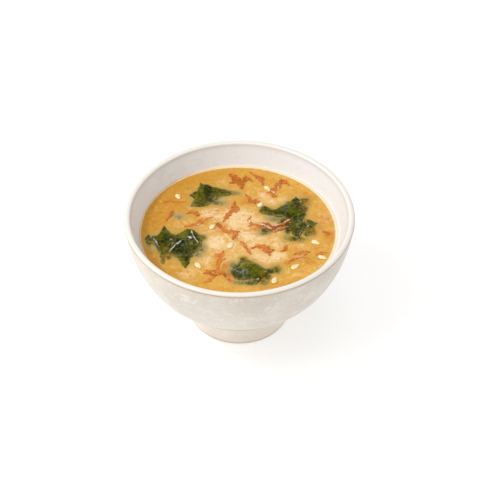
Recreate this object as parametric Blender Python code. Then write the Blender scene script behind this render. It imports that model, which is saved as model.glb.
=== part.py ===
# Miso soup in its footed bowl: a turned stoneware bowl, the soup up to its level with fried
# flakes and sesame seeds lying on it, and the wakame leaves that float in it.
# The origin is the centre of the foot's base. Sizes below are in millimetres.

import math
import random

import bmesh
import bpy
from mathutils import Matrix, Vector, geometry, noise

MM = 0.001
GAP = 0.3  # kept between pieces that touch

# Bowl
BOWL_RADIUS = 57.5
BOWL_HEIGHT = 67.7
BOWL_SEGMENTS = 60
LIP_WIDTH = 3.15
LIP_DEPTH = 1.8  # height of the rounded lip
LIP_PROUD = 0.25  # how far the lip stands out from the body
LIP_TUCK = 0.6  # height of the step under the lip
LIP_ROUND = 30  # degrees between the points of the lip's round
WALL = 5.6  # below the soup's level
WALL_EVEN = 4.0  # below the soup's level, where the wall's thickness becomes even
FOOT_RADIUS = 26.1
FOOT_HEIGHT = 10.4  # up to where it meets the body
FOOT_WAIST = 0.4  # how far the foot draws in between its ends
FOOT_EDGE = 0.6  # rounding at the foot's lower edge
FOOT_RING = 4.4  # width of the foot's flat ring
RECESS_DEPTH = 3.4  # of the hollow inside the foot
RECESS_SLOPE = 1.6  # how far its side leans in
BASIN = ((0.0, 6.2), (14.0, 7.4))  # the body's curve inside the foot, radius and height
BODY = ((27.9, 13.6), (33.85, 18.6), (39.85, 24.6), (47.6, 34.6), (53.1, 46.3), (56.1, 57.3))
BODY_STEPS = 2  # profile points for each stretch of the body

# Soup
SOUP_LEVEL = 55.8
SOUP_RADIUS = 50.2  # where the level meets the wall

# Leaves
LEAF_THICKNESS = 0.8
LEAF_MESH = 2.3  # distance between points inside a leaf
LEAF_JITTER = 0.3  # how far those points wander
MARGIN_STEP = 2.4  # distance between points along a leaf's margin
MARGIN_ROUGH = 0.38  # how far the margin wanders
CREASE_WIDTH = 1.6
RIPPLE = 0.5  # height of the waves in a leaf
RIPPLE_LENGTH = 7.0
DROOP = 0.9  # how far a margin hangs below the middle
DROOP_WIDTH = 2.0
HIGHEST = 3.0  # of a leaf above the soup
LOWEST = -1.3
POCKET_SIDE = 0.36  # how far the hollow in the soup goes past a leaf's margin
POCKET_TOP = 5.0  # above the soup, clear of every leaf

# Each leaf has its corners seen from above, its height over the soup, the slope of the whole leaf
# and its creases, each a run of points with a height.
LEAVES = {
    "wakame_back": {
        "corners": (
            (-20.3, 35.8), (-14.5, 32.7), (-6.0, 31.0), (-1.0, 28.5), (-9.5, 24.0), (-12.0, 21.0),
            (-16.5, 18.2), (-25.2, 17.6), (-22.5, 24.0), (-25.5, 26.0), (-21.3, 29.5),
        ),
        "lift": 0.9,
        "lean": (-0.06, 0.05),
        "creases": ((((-22.5, 20.0), (-17.5, 25.0), (-16.5, 32.0)), 0.8),),
    },
    "wakame_right": {
        "corners": (
            (10.0, 13.0), (10.5, 15.5), (13.0, 18.5), (17.0, 15.6), (19.0, 16.0), (24.5, 22.0),
            (26.5, 21.5), (29.2, 25.8), (31.3, 20.3), (33.0, 15.0), (33.3, 12.0), (32.2, 8.5),
            (33.2, 4.2), (32.6, 0.8), (30.8, -2.2), (29.7, -5.7), (26.5, -3.5), (24.5, 1.0),
            (25.8, 6.0), (22.0, 9.8), (14.0, 11.6),
        ),
        "lift": 1.0,
        "lean": (0.03, 0.01),
        "creases": (
            (((30.0, 21.5), (31.8, 15.0), (31.0, 8.0)), 1.0),
            (((31.8, 4.5), (30.5, -1.0)), 0.9),
        ),
    },
    "wakame_right_back": {
        "corners": (
            (30.8, 24.2), (35.0, 25.0), (36.3, 22.8), (35.6, 18.0), (35.2, 13.4), (34.1, 12.4),
            (33.9, 15.3), (32.2, 20.5),
        ),
        "lift": 0.5,
        "lean": (0.0, 0.04),
        "creases": (),
    },
    "wakame_right_front": {
        "corners": (
            (34.0, 8.3), (35.5, 8.0), (38.0, 6.2), (40.2, 5.5), (37.6, 3.0), (38.5, 0.0),
            (38.5, -3.5), (36.0, -4.6), (33.2, -4.8), (31.8, -2.6), (33.6, 0.5), (34.1, 4.2),
        ),
        "lift": 0.5,
        "lean": (-0.02, 0.06),
        "creases": ((((37.5, 4.5), (35.5, 0.0)), 0.6),),
    },
    "wakame_right_small": {
        "corners": (
            (11.4, 2.0), (13.4, 1.3), (15.6, -0.8), (15.3, -2.2), (12.2, -1.9), (10.5, -0.2),
        ),
        "lift": 0.3,
        "lean": (0.0, 0.0),
        "creases": (),
    },
    "wakame_left": {
        "corners": (
            (-45.5, -3.2), (-43.8, -5.0), (-41.4, -4.4), (-39.8, -2.5), (-38.0, 3.0), (-36.0, 0.5),
            (-34.5, -1.5), (-32.3, -3.2), (-33.4, -8.0), (-34.4, -13.0), (-35.6, -17.6),
            (-37.0, -23.8), (-38.5, -20.5), (-38.9, -17.0), (-41.4, -11.5), (-43.5, -9.6),
            (-46.3, -8.7), (-47.0, -6.5),
        ),
        "lift": 0.9,
        "lean": (0.0, 0.01),
        "creases": ((((-44.0, -5.5), (-41.2, -9.0), (-38.6, -16.5)), 0.9),),
    },
    "wakame_left_inner": {
        "corners": (
            (-31.6, -3.6), (-29.5, -1.5), (-26.5, 0.7), (-23.0, 0.0), (-20.5, -3.0), (-16.5, -4.2),
            (-19.0, -8.0), (-18.0, -12.4), (-19.4, -15.2), (-22.0, -17.0), (-24.2, -20.0),
            (-24.5, -23.5), (-26.4, -27.0), (-29.3, -22.0), (-31.6, -18.8), (-34.8, -17.2),
            (-33.7, -13.0), (-32.7, -8.0),
        ),
        "lift": 1.0,
        "lean": (-0.03, 0.0),
        "creases": (
            (((-33.5, -15.8), (-31.5, -13.3), (-28.0, -9.0)), 1.1),
            (((-23.3, -2.0), (-23.5, -5.0), (-20.0, -10.3)), 0.9),
        ),
    },
    "wakame_front": {
        "corners": (
            (2.5, -18.3), (5.5, -22.0), (9.5, -25.0), (14.0, -27.6), (14.4, -29.6), (12.3, -33.5),
            (8.3, -38.0), (4.0, -35.0), (0.0, -35.5), (-2.6, -34.6), (-4.2, -30.0), (-3.0, -26.0),
            (-0.8, -22.5),
        ),
        "lift": 0.9,
        "lean": (0.03, 0.0),
        "creases": (
            (((-2.0, -29.5), (3.0, -28.0), (7.0, -25.5)), 0.8),
            (((8.5, -35.5), (12.5, -30.0)), 0.8),
        ),
    },
    "wakame_front_side": {
        "corners": (
            (15.2, -28.0), (18.0, -24.0), (19.4, -24.0), (20.5, -27.4), (19.0, -30.0),
            (15.3, -30.8),
        ),
        "lift": 0.4,
        "lean": (0.0, 0.05),
        "creases": (),
    },
}

# Flakes: each arm has its course seen from above and its width.
FLAKE_RISE = 0.45  # top of a flake above the soup
FLAKE_DEPTH = 0.6  # how far it is let into the soup
FLAKE_STEP = 2.6
FLAKE_UNEVEN = (-0.1, 0.35)  # added to the rise along a flake
FLAKE_SIDE = (0.8, 1.05)  # share of the width along a flake
FLAKE_TIP = (0.35, 0.6)  # share of the width at its ends
COURSE_STEP = 0.4  # between the places along a flake that are tried against the leaves
FLAKES = (
    (((-4.3, 43.0), (-2.0, 38.5), (1.0, 33.0)), 2.5),
    (((0.6, 34.6), (3.3, 41.3), (5.8, 38.3)), 2.2),
    (((-4.5, 36.0), (-1.6, 36.6)), 1.6),
    (((5.8, 44.4), (9.0, 41.5), (12.4, 36.2)), 1.8),
    (((16.5, 30.0), (19.0, 31.5), (21.5, 35.0), (24.9, 35.8)), 3.0),
    (((15.3, 28.5), (17.0, 27.0), (19.0, 25.6)), 2.0),
    (((4.0, 26.4), (5.5, 22.5), (9.3, 22.7)), 2.5),
    (((5.6, 22.6), (6.8, 20.4)), 1.8),
    (((-2.0, 21.2), (-2.2, 17.5), (-5.0, 13.0), (-7.8, 7.5)), 2.8),
    (((-24.5, 14.5), (-21.2, 10.8)), 2.5),
    (((-33.6, 15.0), (-34.5, 12.0), (-36.5, 7.8)), 1.8),
    (((-40.5, 20.0), (-35.3, 23.2), (-27.5, 21.7)), 2.8),
    (((-26.0, 3.4), (-22.0, 4.5), (-19.0, 6.8), (-14.4, 9.2)), 1.8),
    (((-10.8, 4.7), (-8.5, 1.5), (-5.0, -1.0), (-1.0, -2.0)), 3.4),
    (((-3.6, -2.2), (-2.8, -6.0)), 2.2),
    (((5.0, 9.3), (5.8, 6.5), (8.0, 4.5), (11.0, 4.0)), 2.0),
    (((11.0, 5.2), (14.0, 3.8), (16.5, 1.5), (19.5, 3.8), (22.5, 5.0), (25.5, 8.3)), 2.2),
    (((17.0, 1.6), (19.0, -0.5), (22.5, 1.5), (25.0, 3.5)), 1.4),
    (((1.1, -8.5), (3.2, -12.0), (5.0, -16.1)), 1.4),
    (((6.5, -12.2), (10.0, -11.5), (13.0, -13.0), (16.4, -14.3)), 2.8),
    (((12.6, -13.6), (15.0, -17.0)), 1.8),
    (((21.3, -14.7), (23.9, -12.1)), 1.8),
    (((28.5, -16.0), (34.4, -15.9)), 2.5),
    (((23.6, -24.0), (27.0, -21.5), (33.0, -18.0)), 1.6),
    (((42.0, -1.5), (46.0, -2.2)), 2.8),
    (((38.8, -17.6), (42.0, -16.2)), 2.0),
    (((-8.4, -15.9), (-9.0, -19.5), (-9.5, -24.0), (-10.4, -29.6)), 3.3),
    (((-10.0, -29.0), (-12.6, -30.0), (-15.7, -30.5)), 2.4),
    (((-11.0, -31.0), (-14.0, -34.5), (-16.4, -36.8)), 2.2),
    (((-9.0, -28.6), (-6.4, -32.6), (-3.0, -36.6)), 2.0),
)

# Sesame seeds: place seen from above and turn of the long axis, in degrees.
SEED_LENGTH = 3.7
SEED_WIDTH = 2.3
SEED_THICKNESS = 1.5
SEED_TAPER = 0.35
SEED_RISE = 0.2  # of its middle above the soup's level
SEEDS = (
    (-31.4, 25.1, -62), (10.2, 19.8, 62), (14.2, 32.2, -48), (-13.5, 2.6, 58), (-4.4, -10.9, 60),
    (-20.2, -25.3, -58), (38.1, -9.0, -28), (40.9, -19.7, -22), (27.4, -26.1, 30), (17.1, -35.5, 72),
)
TOPPING_CLEARANCE = 0.7  # between a flake or seed and a leaf


def smooth_curve(points, steps):
    """The points joined by a Catmull-Rom curve, each stretch divided into steps."""
    ends = (2 * Vector(points[0]) - Vector(points[1]), 2 * Vector(points[-1]) - Vector(points[-2]))
    knots = [ends[0]] + [Vector(p) for p in points] + [ends[1]]
    curve = [knots[1]]
    for a, b, c, d in zip(knots, knots[1:], knots[2:], knots[3:]):
        for step in range(1, steps + 1):
            t = step / steps
            curve.append(
                0.5 * (2 * b + (c - a) * t + (2 * a - 5 * b + 4 * c - d) * t ** 2
                       + (3 * b - a - 3 * c + d) * t ** 3)
            )
    return curve


def resampled(path, step):
    """The same path with points about one step apart."""
    path = [Vector(p) for p in path]
    lengths = [(b - a).length for a, b in zip(path, path[1:])]
    count = max(1, round(sum(lengths) / step))
    found = [path[0]]
    for index in range(1, count):
        left = sum(lengths) * index / count
        for a, b, length in zip(path, path[1:], lengths):
            if left <= length:
                found.append(a.lerp(b, left / length))
                break
            left -= length
    return found + [path[-1]]


def turned(name, profile, segments):
    """A profile of (radius, height) points turned about Z, closed by fans or flat caps."""
    bm = bmesh.new()
    rings = []
    for radius, height in profile:
        if radius < 1e-6:
            rings.append([bm.verts.new((0.0, 0.0, height * MM))])
            continue
        ring = []
        for i in range(segments):
            turn = 2 * math.pi * i / segments
            place = (radius * math.cos(turn), radius * math.sin(turn), height)
            ring.append(bm.verts.new(Vector(place) * MM))
        rings.append(ring)
    for low, high in zip(rings, rings[1:]):
        for i in range(segments):
            j = (i + 1) % segments
            corners = [low[i % len(low)], low[j % len(low)], high[j % len(high)], high[i % len(high)]]
            bm.faces.new(dict.fromkeys(corners))
    for ring in (rings[0], rings[-1]):
        if len(ring) > 1:
            bm.faces.new(ring)
    return finished(name, bm)


def finished(name, bm):
    """An object in the scene from a bmesh whose faces are turned outwards."""
    bmesh.ops.recalc_face_normals(bm, faces=bm.faces)
    mesh = bpy.data.meshes.new(name)
    bm.to_mesh(mesh)
    bm.free()
    obj = bpy.data.objects.new(name, mesh)
    bpy.context.scene.collection.objects.link(obj)
    return obj


def lip_points(start, end):
    """Points of the lip's round between two turns in degrees, 0 being its outer side."""
    half = LIP_WIDTH / 2
    foot = BOWL_HEIGHT - LIP_DEPTH + LIP_TUCK
    rise = LIP_DEPTH - LIP_TUCK
    turns = [math.radians(t) for t in range(start, end + 1, LIP_ROUND)]
    return [(BOWL_RADIUS - half + half * math.cos(t), foot + rise * math.sin(t)) for t in turns]


def outer_profile():
    """The bowl's outside, from the middle of the hollow under the foot up to the lip's crown."""
    ring_out = FOOT_RADIUS - FOOT_EDGE
    ring_in = ring_out - FOOT_RING
    foot = [
        (0.0, RECESS_DEPTH),
        (ring_in - RECESS_SLOPE, RECESS_DEPTH),
        (ring_in - FOOT_EDGE, FOOT_EDGE),
        (ring_in, 0.0),
        (ring_out, 0.0),
        (FOOT_RADIUS, FOOT_EDGE),
        (FOOT_RADIUS - FOOT_WAIST, FOOT_HEIGHT / 2),
        (FOOT_RADIUS, FOOT_HEIGHT),
    ]
    under_lip = (BOWL_RADIUS - LIP_PROUD, BOWL_HEIGHT - LIP_DEPTH)
    body = [tuple(p) for p in smooth_curve(BODY + (under_lip,), BODY_STEPS)]
    return foot + body + lip_points(0, 90)


def inner_profile():
    """The bowl's inside, from the lip's inner side down to the middle of the floor."""
    return lip_points(120, 180) + [(SOUP_RADIUS, SOUP_LEVEL)] + hollow_profile(WALL)


def hollow_profile(wall):
    """The body's curve set inwards by the wall, from under the soup's level to the middle."""
    outside = smooth_curve(BASIN + BODY, BODY_STEPS)
    inside = [(0.0, outside[0].y + wall)]
    for before, here, after in zip(outside, outside[1:], outside[2:]):
        along = (after - before).normalized()
        point = here + Vector((-along.y, along.x)) * wall
        if point.y < SOUP_LEVEL - WALL_EVEN:
            inside.append((point.x, point.y))
    return inside[::-1]


def make_bowl():
    return turned("bowl", outer_profile() + inner_profile(), BOWL_SEGMENTS)


def make_soup():
    """The soup's body with its flat top, the gap clear of the wall."""
    profile = [(SOUP_RADIUS - GAP, SOUP_LEVEL)] + hollow_profile(WALL + GAP)[:-1]
    return turned("soup", profile, BOWL_SEGMENTS)


def distance_to_line(point, line):
    """From a point to a run of points, in plan."""
    nearest = 1e9
    for a, b in zip(line, line[1:]):
        run = b - a
        share = max(0.0, min(1.0, (point - a).dot(run) / run.length_squared))
        nearest = min(nearest, (point - a - run * share).length)
    return nearest


def inside_outline(point, outline):
    """Whether a point lies within a closed outline, by counting crossings."""
    inside = False
    for a, b in zip(outline, outline[1:] + outline[:1]):
        if (a.y > point.y) != (b.y > point.y):
            if point.x < a.x + (b.x - a.x) * (point.y - a.y) / (b.y - a.y):
                inside = not inside
    return inside


def margin(leaf, rng):
    """A leaf's outline with its ragged margin, counter-clockwise."""
    corners = [Vector(c) for c in leaf["corners"]]
    outline = []
    for a, b in zip(corners, corners[1:] + corners[:1]):
        stretch = resampled((a, b), MARGIN_STEP)[:-1]
        across = Vector((-(b - a).y, (b - a).x)).normalized()
        outline.append(stretch[0])
        outline += [p + across * rng.uniform(-MARGIN_ROUGH, MARGIN_ROUGH) for p in stretch[1:]]
    area = sum(a.cross(b) for a, b in zip(outline, outline[1:] + outline[:1]))
    return outline if area > 0 else outline[::-1]


def widened(outline, by):
    """The outline moved outwards by the given distance at each of its points."""
    moved = []
    for before, here, after in zip(outline[-1:] + outline[:-1], outline, outline[1:] + outline[:1]):
        first = (here - before).normalized()
        second = (after - here).normalized()
        out = Vector((first.y + second.y, -first.x - second.x)).normalized()
        square = max(0.5, out.dot(Vector((first.y, -first.x))))
        moved.append(here + out * by / square)
    return moved


class Leaf:
    """One leaf: its outline, the points inside it and its height over the soup at any point."""

    def __init__(self, name, leaf, seed):
        rng = random.Random(seed)
        self.name = name
        self.leaf = leaf
        self.seed = seed
        self.outline = margin(leaf, rng)
        self.centre = sum(self.outline, Vector((0, 0))) / len(self.outline)
        self.closed = self.outline + self.outline[:1]
        self.creases = [([Vector(p) for p in line], height) for line, height in leaf["creases"]]
        inner = self.inner_points(rng)
        loop = [list(range(len(self.outline)))]
        result = geometry.delaunay_2d_cdt(self.outline + inner, [], loop, 1, 1e-4)
        self.points = [Vector(p) for p in result[0]]
        self.faces = result[2]

    def inner_points(self, rng):
        low = Vector((min(p.x for p in self.outline), min(p.y for p in self.outline)))
        high = Vector((max(p.x for p in self.outline), max(p.y for p in self.outline)))
        row_step = LEAF_MESH * math.sqrt(3) / 2
        found = []
        for row in range(1 + int((high.y - low.y) / row_step)):
            for column in range(1 + int((high.x - low.x) / LEAF_MESH)):
                shift = LEAF_MESH * (column + 0.5 * (row % 2))
                jitter = Vector([rng.uniform(-LEAF_JITTER, LEAF_JITTER) for _ in range(2)])
                point = low + Vector((shift, row * row_step)) + jitter
                if not inside_outline(point, self.outline):
                    continue
                if distance_to_line(point, self.closed) > LEAF_MESH / 2:
                    found.append(point)
        return found

    def height(self, point):
        """Of the leaf's upper face above the soup's level."""
        place = Vector((point.x / RIPPLE_LENGTH, point.y / RIPPLE_LENGTH, self.seed * 3.7))
        rise = self.leaf["lift"] + Vector(self.leaf["lean"]).dot(point - self.centre)
        rise += RIPPLE * 2 * noise.noise(place)
        for line, height in self.creases:
            rise += height * math.exp(-((distance_to_line(point, line) / CREASE_WIDTH) ** 2))
        edge = distance_to_line(point, self.closed)
        if not inside_outline(point, self.outline):
            edge = 0.0
        rise -= DROOP * math.exp(-edge / DROOP_WIDTH)
        return max(LOWEST, min(HIGHEST, rise))

    def solid(self, name, move_out, top, bottom):
        """A closed solid between two heights given as functions of a point in plan."""
        count = len(self.outline)
        points = widened(self.outline, move_out) + self.points[count:]
        bm = bmesh.new()
        layers = []
        for height in (bottom, top):
            layers.append([bm.verts.new(Vector((*p, SOUP_LEVEL + height(p))) * MM) for p in points])
        for layer in layers:
            for face in self.faces:
                bm.faces.new([layer[i] for i in face])
        for i in range(count):
            j = (i + 1) % count
            bm.faces.new((layers[0][i], layers[0][j], layers[1][j], layers[1][i]))
        return finished(name, bm)

    def make(self):
        return self.solid(self.name, 0.0, self.height, lambda p: self.height(p) - LEAF_THICKNESS)

    def pocket(self):
        """What is taken out of the soup: all above the leaf's underside, a gap wider all round."""
        return self.solid(
            "pocket_" + self.name, POCKET_SIDE, lambda p: POCKET_TOP,
            lambda p: self.height(p) - LEAF_THICKNESS - GAP,
        )


def clear_of_leaves(point, half_width, leaves):
    room = half_width + TOPPING_CLEARANCE
    for leaf in leaves:
        if inside_outline(point, leaf.outline) or distance_to_line(point, leaf.closed) < room:
            return False
    return True


def flake_arm(name, course, width, leaves, rng):
    """One arm of a flake as a thin bent strip, shortened where it would reach a leaf."""
    path = [p for p in resampled(course, COURSE_STEP) if clear_of_leaves(p, width / 2, leaves)]
    path = resampled(path, FLAKE_STEP)
    bm = bmesh.new()
    rows = []
    for index, here in enumerate(path):
        ahead = path[min(index + 1, len(path) - 1)]
        behind = path[max(index - 1, 0)]
        along = (ahead - behind).normalized()
        across = Vector((-along.y, along.x))
        share = FLAKE_TIP if index in (0, len(path) - 1) else FLAKE_SIDE
        side = across * width / 2 * rng.uniform(*share)
        rise = FLAKE_RISE + rng.uniform(*FLAKE_UNEVEN)
        row = []
        for place, height in ((here + side, -FLAKE_DEPTH), (here - side, -FLAKE_DEPTH),
                              (here - side, rise), (here + side, rise)):
            row.append(bm.verts.new(Vector((*place, SOUP_LEVEL + height)) * MM))
        rows.append(row)
    for first, second in zip(rows, rows[1:]):
        for i in range(4):
            j = (i + 1) % 4
            bm.faces.new((first[i], first[j], second[j], second[i]))
    bm.faces.new(rows[0])
    bm.faces.new(rows[-1])
    return finished(name, bm)


def seed_solid(name, x, y, turn):
    """A drop-shaped seed lying flat, half sunk in the soup."""
    bm = bmesh.new()
    bmesh.ops.create_uvsphere(bm, u_segments=6, v_segments=5, radius=0.5)
    for vert in bm.verts:
        along, across, up = vert.co.z, vert.co.x, vert.co.y
        taper = 1.0 - SEED_TAPER * along
        vert.co = (along * SEED_LENGTH, across * SEED_WIDTH * taper, up * SEED_THICKNESS * taper)
    place = Matrix.Translation((x, y, SOUP_LEVEL + SEED_RISE))
    bm.transform(Matrix.Scale(MM, 4) @ place @ Matrix.Rotation(math.radians(turn), 4, "Z"))
    return finished(name, bm)


def gathered(name, objects):
    """The objects moved into a collection of their own."""
    collection = bpy.data.collections.new(name)
    bpy.context.scene.collection.children.link(collection)
    for obj in objects:
        bpy.context.scene.collection.objects.unlink(obj)
        collection.objects.link(obj)
    return collection


def combined(obj, operation, helpers):
    """Applies one Boolean of the object with all the helpers, then removes them."""
    collection = gathered("helpers_" + operation.lower(), helpers)
    modifier = obj.modifiers.new(operation.lower(), "BOOLEAN")
    modifier.operation = operation
    modifier.operand_type = "COLLECTION"
    modifier.collection = collection
    modifier.solver = "EXACT"
    graph = bpy.context.evaluated_depsgraph_get()
    mesh = bpy.data.meshes.new_from_object(obj.evaluated_get(graph))
    obj.modifiers.clear()
    obj.data = mesh
    for helper in helpers:
        bpy.data.objects.remove(helper)
    bpy.data.collections.remove(collection)


def material(name, colour, roughness):
    made = bpy.data.materials.new(name)
    made.use_nodes = True
    shader = made.node_tree.nodes["Principled BSDF"]
    shader.inputs["Base Color"].default_value = (*colour, 1.0)
    shader.inputs["Roughness"].default_value = roughness
    shader.inputs["Metallic"].default_value = 0.0
    return made


def finish(obj, made):
    obj.data.materials.clear()
    obj.data.materials.append(made)
    obj.data.shade_smooth()
    obj.data.set_sharp_from_angle(angle=math.radians(40))


def main():
    for obj in list(bpy.data.objects):
        bpy.data.objects.remove(obj)
    rng = random.Random(11)
    leaves = [Leaf(name, leaf, seed) for seed, (name, leaf) in enumerate(LEAVES.items(), 1)]

    bowl = make_bowl()
    soup = make_soup()
    combined(soup, "DIFFERENCE", [leaf.pocket() for leaf in leaves])
    toppings = [
        flake_arm(f"flake_{i}", course, width, leaves, rng)
        for i, (course, width) in enumerate(FLAKES)
    ]
    toppings += [seed_solid(f"seed_{i}", *place) for i, place in enumerate(SEEDS)]
    combined(soup, "UNION", toppings)

    finish(bowl, material("glazed_stoneware", (0.86, 0.82, 0.74), 0.35))
    finish(soup, material("miso_soup", (0.75, 0.46, 0.15), 0.2))
    for number, leaf in enumerate(leaves):
        finish(leaf.make(), material(f"wakame_{number}", (0.04, 0.07, 0.015), 0.35))


main()
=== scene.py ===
import math
import random

import bmesh
import bpy
import numpy as np
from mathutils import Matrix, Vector, noise
from mathutils.bvhtree import BVHTree
from mathutils.kdtree import KDTree


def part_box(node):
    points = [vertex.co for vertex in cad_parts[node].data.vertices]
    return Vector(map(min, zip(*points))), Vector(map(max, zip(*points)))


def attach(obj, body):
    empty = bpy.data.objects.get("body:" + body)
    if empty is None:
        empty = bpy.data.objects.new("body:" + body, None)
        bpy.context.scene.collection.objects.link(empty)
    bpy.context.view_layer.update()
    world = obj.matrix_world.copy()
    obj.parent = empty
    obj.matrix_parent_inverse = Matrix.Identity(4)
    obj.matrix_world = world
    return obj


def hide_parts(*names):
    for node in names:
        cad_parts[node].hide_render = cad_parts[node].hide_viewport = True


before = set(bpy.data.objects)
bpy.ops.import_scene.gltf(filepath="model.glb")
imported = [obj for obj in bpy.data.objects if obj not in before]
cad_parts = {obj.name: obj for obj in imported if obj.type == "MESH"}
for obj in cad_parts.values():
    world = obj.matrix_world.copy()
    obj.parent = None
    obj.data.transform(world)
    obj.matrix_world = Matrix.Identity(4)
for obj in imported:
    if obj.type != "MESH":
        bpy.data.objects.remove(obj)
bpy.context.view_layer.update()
mm = 0.001
body = "root"  # nothing here moves on its own


# the colours of a piece, given as seen on a screen from 0 to 255, as linear values
def tonesOf(settings):
    tones = {}
    for name, tone in settings["tones"].items():
        shares = [part / 255 for part in tone]
        tones[name] = (*(s / 12.92 if s <= 0.04045 else ((s + 0.055) / 1.055) ** 2.4 for s in shares), 1.0)
    return tones


# a value or a link into a node's socket
def join(tree, value, socket):
    value = getattr(value, "socket", value)
    if isinstance(value, bpy.types.NodeSocket):
        tree.links.new(value, socket)
    else:
        socket.default_value = value


# a new node: its settings first, then its sockets
def addNode(tree, kind, settings, sockets):
    node = tree.nodes.new(kind)
    for name, value in settings.items():
        setattr(node, name, value)
    for name, value in sockets.items():
        join(tree, value, node.inputs[name])
    return node


# a value in a material's tree, so that shader maths reads as plain sums
class Wire:
    def __init__(self, paint, socket):
        self.paint = paint
        self.socket = socket

    def maths(self, operation, *values):
        return self.paint.add("ShaderNodeMath", {"operation": operation}, dict(enumerate(values)))

    def __add__(self, other):
        return self.maths("ADD", self, other)

    def __sub__(self, other):
        return self.maths("SUBTRACT", self, other)

    def __rsub__(self, other):
        return self.maths("SUBTRACT", other, self)

    def __mul__(self, other):
        return self.maths("MULTIPLY", self, other)

    __radd__ = __add__
    __rmul__ = __mul__

    # 0 below the first value, 1 above the second, smooth between
    def step(self, low, high):
        sockets = {"Value": self, "From Min": low, "From Max": high}
        return self.paint.add("ShaderNodeMapRange", {"interpolation_type": "SMOOTHSTEP"}, sockets)


# one material and its nodes
class Paint:
    def __init__(self, name):
        self.material = bpy.data.materials.new(name)
        self.material.use_nodes = True
        self.tree = self.material.node_tree
        self.shader = self.tree.nodes["Principled BSDF"]
        self.place = self.add("ShaderNodeTexCoord", {}, {}, "Object")

    def add(self, kind, settings, sockets, out=0):
        return Wire(self, addNode(self.tree, kind, settings, sockets).outputs[out])

    # the Mix node itself keeps the share between 0 and 1
    def mix(self, first, second, share):
        return self.add("ShaderNodeMix", {"data_type": "RGBA"}, {0: share, 6: first, 7: second}, 2)

    # noise about as coarse as the given size in millimetres, and flattened if its flat is more than 1
    def speckle(self, size, detail=2.0, rough=0.5, warp=0.0, seed=0.0, flat=1.0):
        place = self.place
        if seed:
            moved = {0: place, 1: (1, 1, flat), 2: (seed, seed, 0)}
            place = self.add("ShaderNodeVectorMath", {"operation": "MULTIPLY_ADD"}, moved)
        sockets = {"Vector": place, "Scale": 1 / (size * mm), "Detail": detail, "Roughness": rough}
        return self.add("ShaderNodeTexNoise", {}, {**sockets, "Distortion": warp}, "Fac")

    def attribute(self, name):
        return self.add("ShaderNodeAttribute", {"attribute_name": name}, {}, "Fac")

    def height(self):
        return self.add("ShaderNodeSeparateXYZ", {}, {0: self.place}, "Z") * (1 / mm)

    def relief(self, height, depth, strength):
        sockets = {"Height": height, "Distance": depth * mm, "Strength": strength}
        join(self.tree, self.add("ShaderNodeBump", {}, sockets, "Normal"), self.shader.inputs["Normal"])

    def finish(self, **sockets):
        for name, value in sockets.items():
            join(self.tree, value, self.shader.inputs[name.replace("_", " ")])
        return self.material


def newPiece(name, points, faces):
    mesh = bpy.data.meshes.new(name)
    mesh.from_pydata(points, [], faces)
    mesh.update()
    piece = bpy.data.objects.new(name, mesh)
    bpy.context.scene.collection.objects.link(piece)
    return piece


def floatAttribute(piece, name, values):
    layer = piece.data.attributes.new(name, "FLOAT", "POINT")
    layer.data.foreach_set("value", np.asarray(values, np.float32).ravel())


def pointsOf(piece):
    flat = np.empty(len(piece.data.vertices) * 3, np.float32)
    piece.data.vertices.foreach_get("co", flat)
    return flat.reshape(-1, 3).astype(float)


def setPoints(piece, points):
    piece.data.vertices.foreach_set("co", np.asarray(points, np.float32).ravel())
    piece.data.update()


def settle(piece, material, node):
    if material.name not in piece.data.materials:
        piece.data.materials.append(material)
    piece.data.shade_smooth()
    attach(piece, body)
    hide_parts(node)


# the cells of a grid of points, row by row
def gridFaces(rows, columns):
    corners = [row * (columns + 1) + column for row in range(rows) for column in range(columns)]
    return [(a, a + 1, a + columns + 2, a + columns + 1) for a in corners]


# the result of a Geometry Nodes tree on a piece, as a plain mesh without the modifier
def applyTree(piece, tree, **values):
    modifier = piece.modifiers.new(tree.name, "NODES")
    modifier.node_group = tree
    for item in tree.interface.items_tree:
        if item.item_type == "SOCKET" and item.name in values:
            modifier[item.identifier] = values[item.name]
    bpy.context.view_layer.update()
    graph = bpy.context.evaluated_depsgraph_get()
    mesh = bpy.data.meshes.new_from_object(piece.evaluated_get(graph))
    piece.modifiers.clear()
    old = piece.data
    piece.data = mesh
    bpy.data.meshes.remove(old)


class Tree:
    def __init__(self, name, inputs):
        self.group = bpy.data.node_groups.new(name, "GeometryNodeTree")
        plugs = self.group.interface
        plugs.new_socket("Geometry", in_out="INPUT", socket_type="NodeSocketGeometry")
        for label, kind in inputs.items():
            plugs.new_socket(label, in_out="INPUT", socket_type="NodeSocket" + kind)
        plugs.new_socket("Geometry", in_out="OUTPUT", socket_type="NodeSocketGeometry")
        self.given = self.group.nodes.new("NodeGroupInput").outputs

    def add(self, kind, settings, sockets, out=0):
        return addNode(self.group, kind, settings, sockets).outputs[out]

    # every tree ends alike: real geometry with its material
    def close(self, geometry):
        real = self.add("GeometryNodeRealizeInstances", {}, {"Geometry": geometry})
        sockets = {"Geometry": real, "Material": self.given["Material"]}
        painted = self.add("GeometryNodeSetMaterial", {}, sockets)
        self.group.links.new(painted, self.group.nodes.new("NodeGroupOutput").inputs[0])
        return self.group


# camera: where the photograph was taken from
camera = {
    "distance": 750 * mm,
    "above": 44.49,  # degrees over the table, of the line to the target
    "target": 33 * mm,  # height of the target over the table
    "raise": 0.8986,  # degrees by which it aims above the target
    "turn": -0.0392,  # degrees to the right
    "focal": 109.54,
    "sensor": 36,  # width in mm
    "nearest": 0.01,
}


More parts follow.
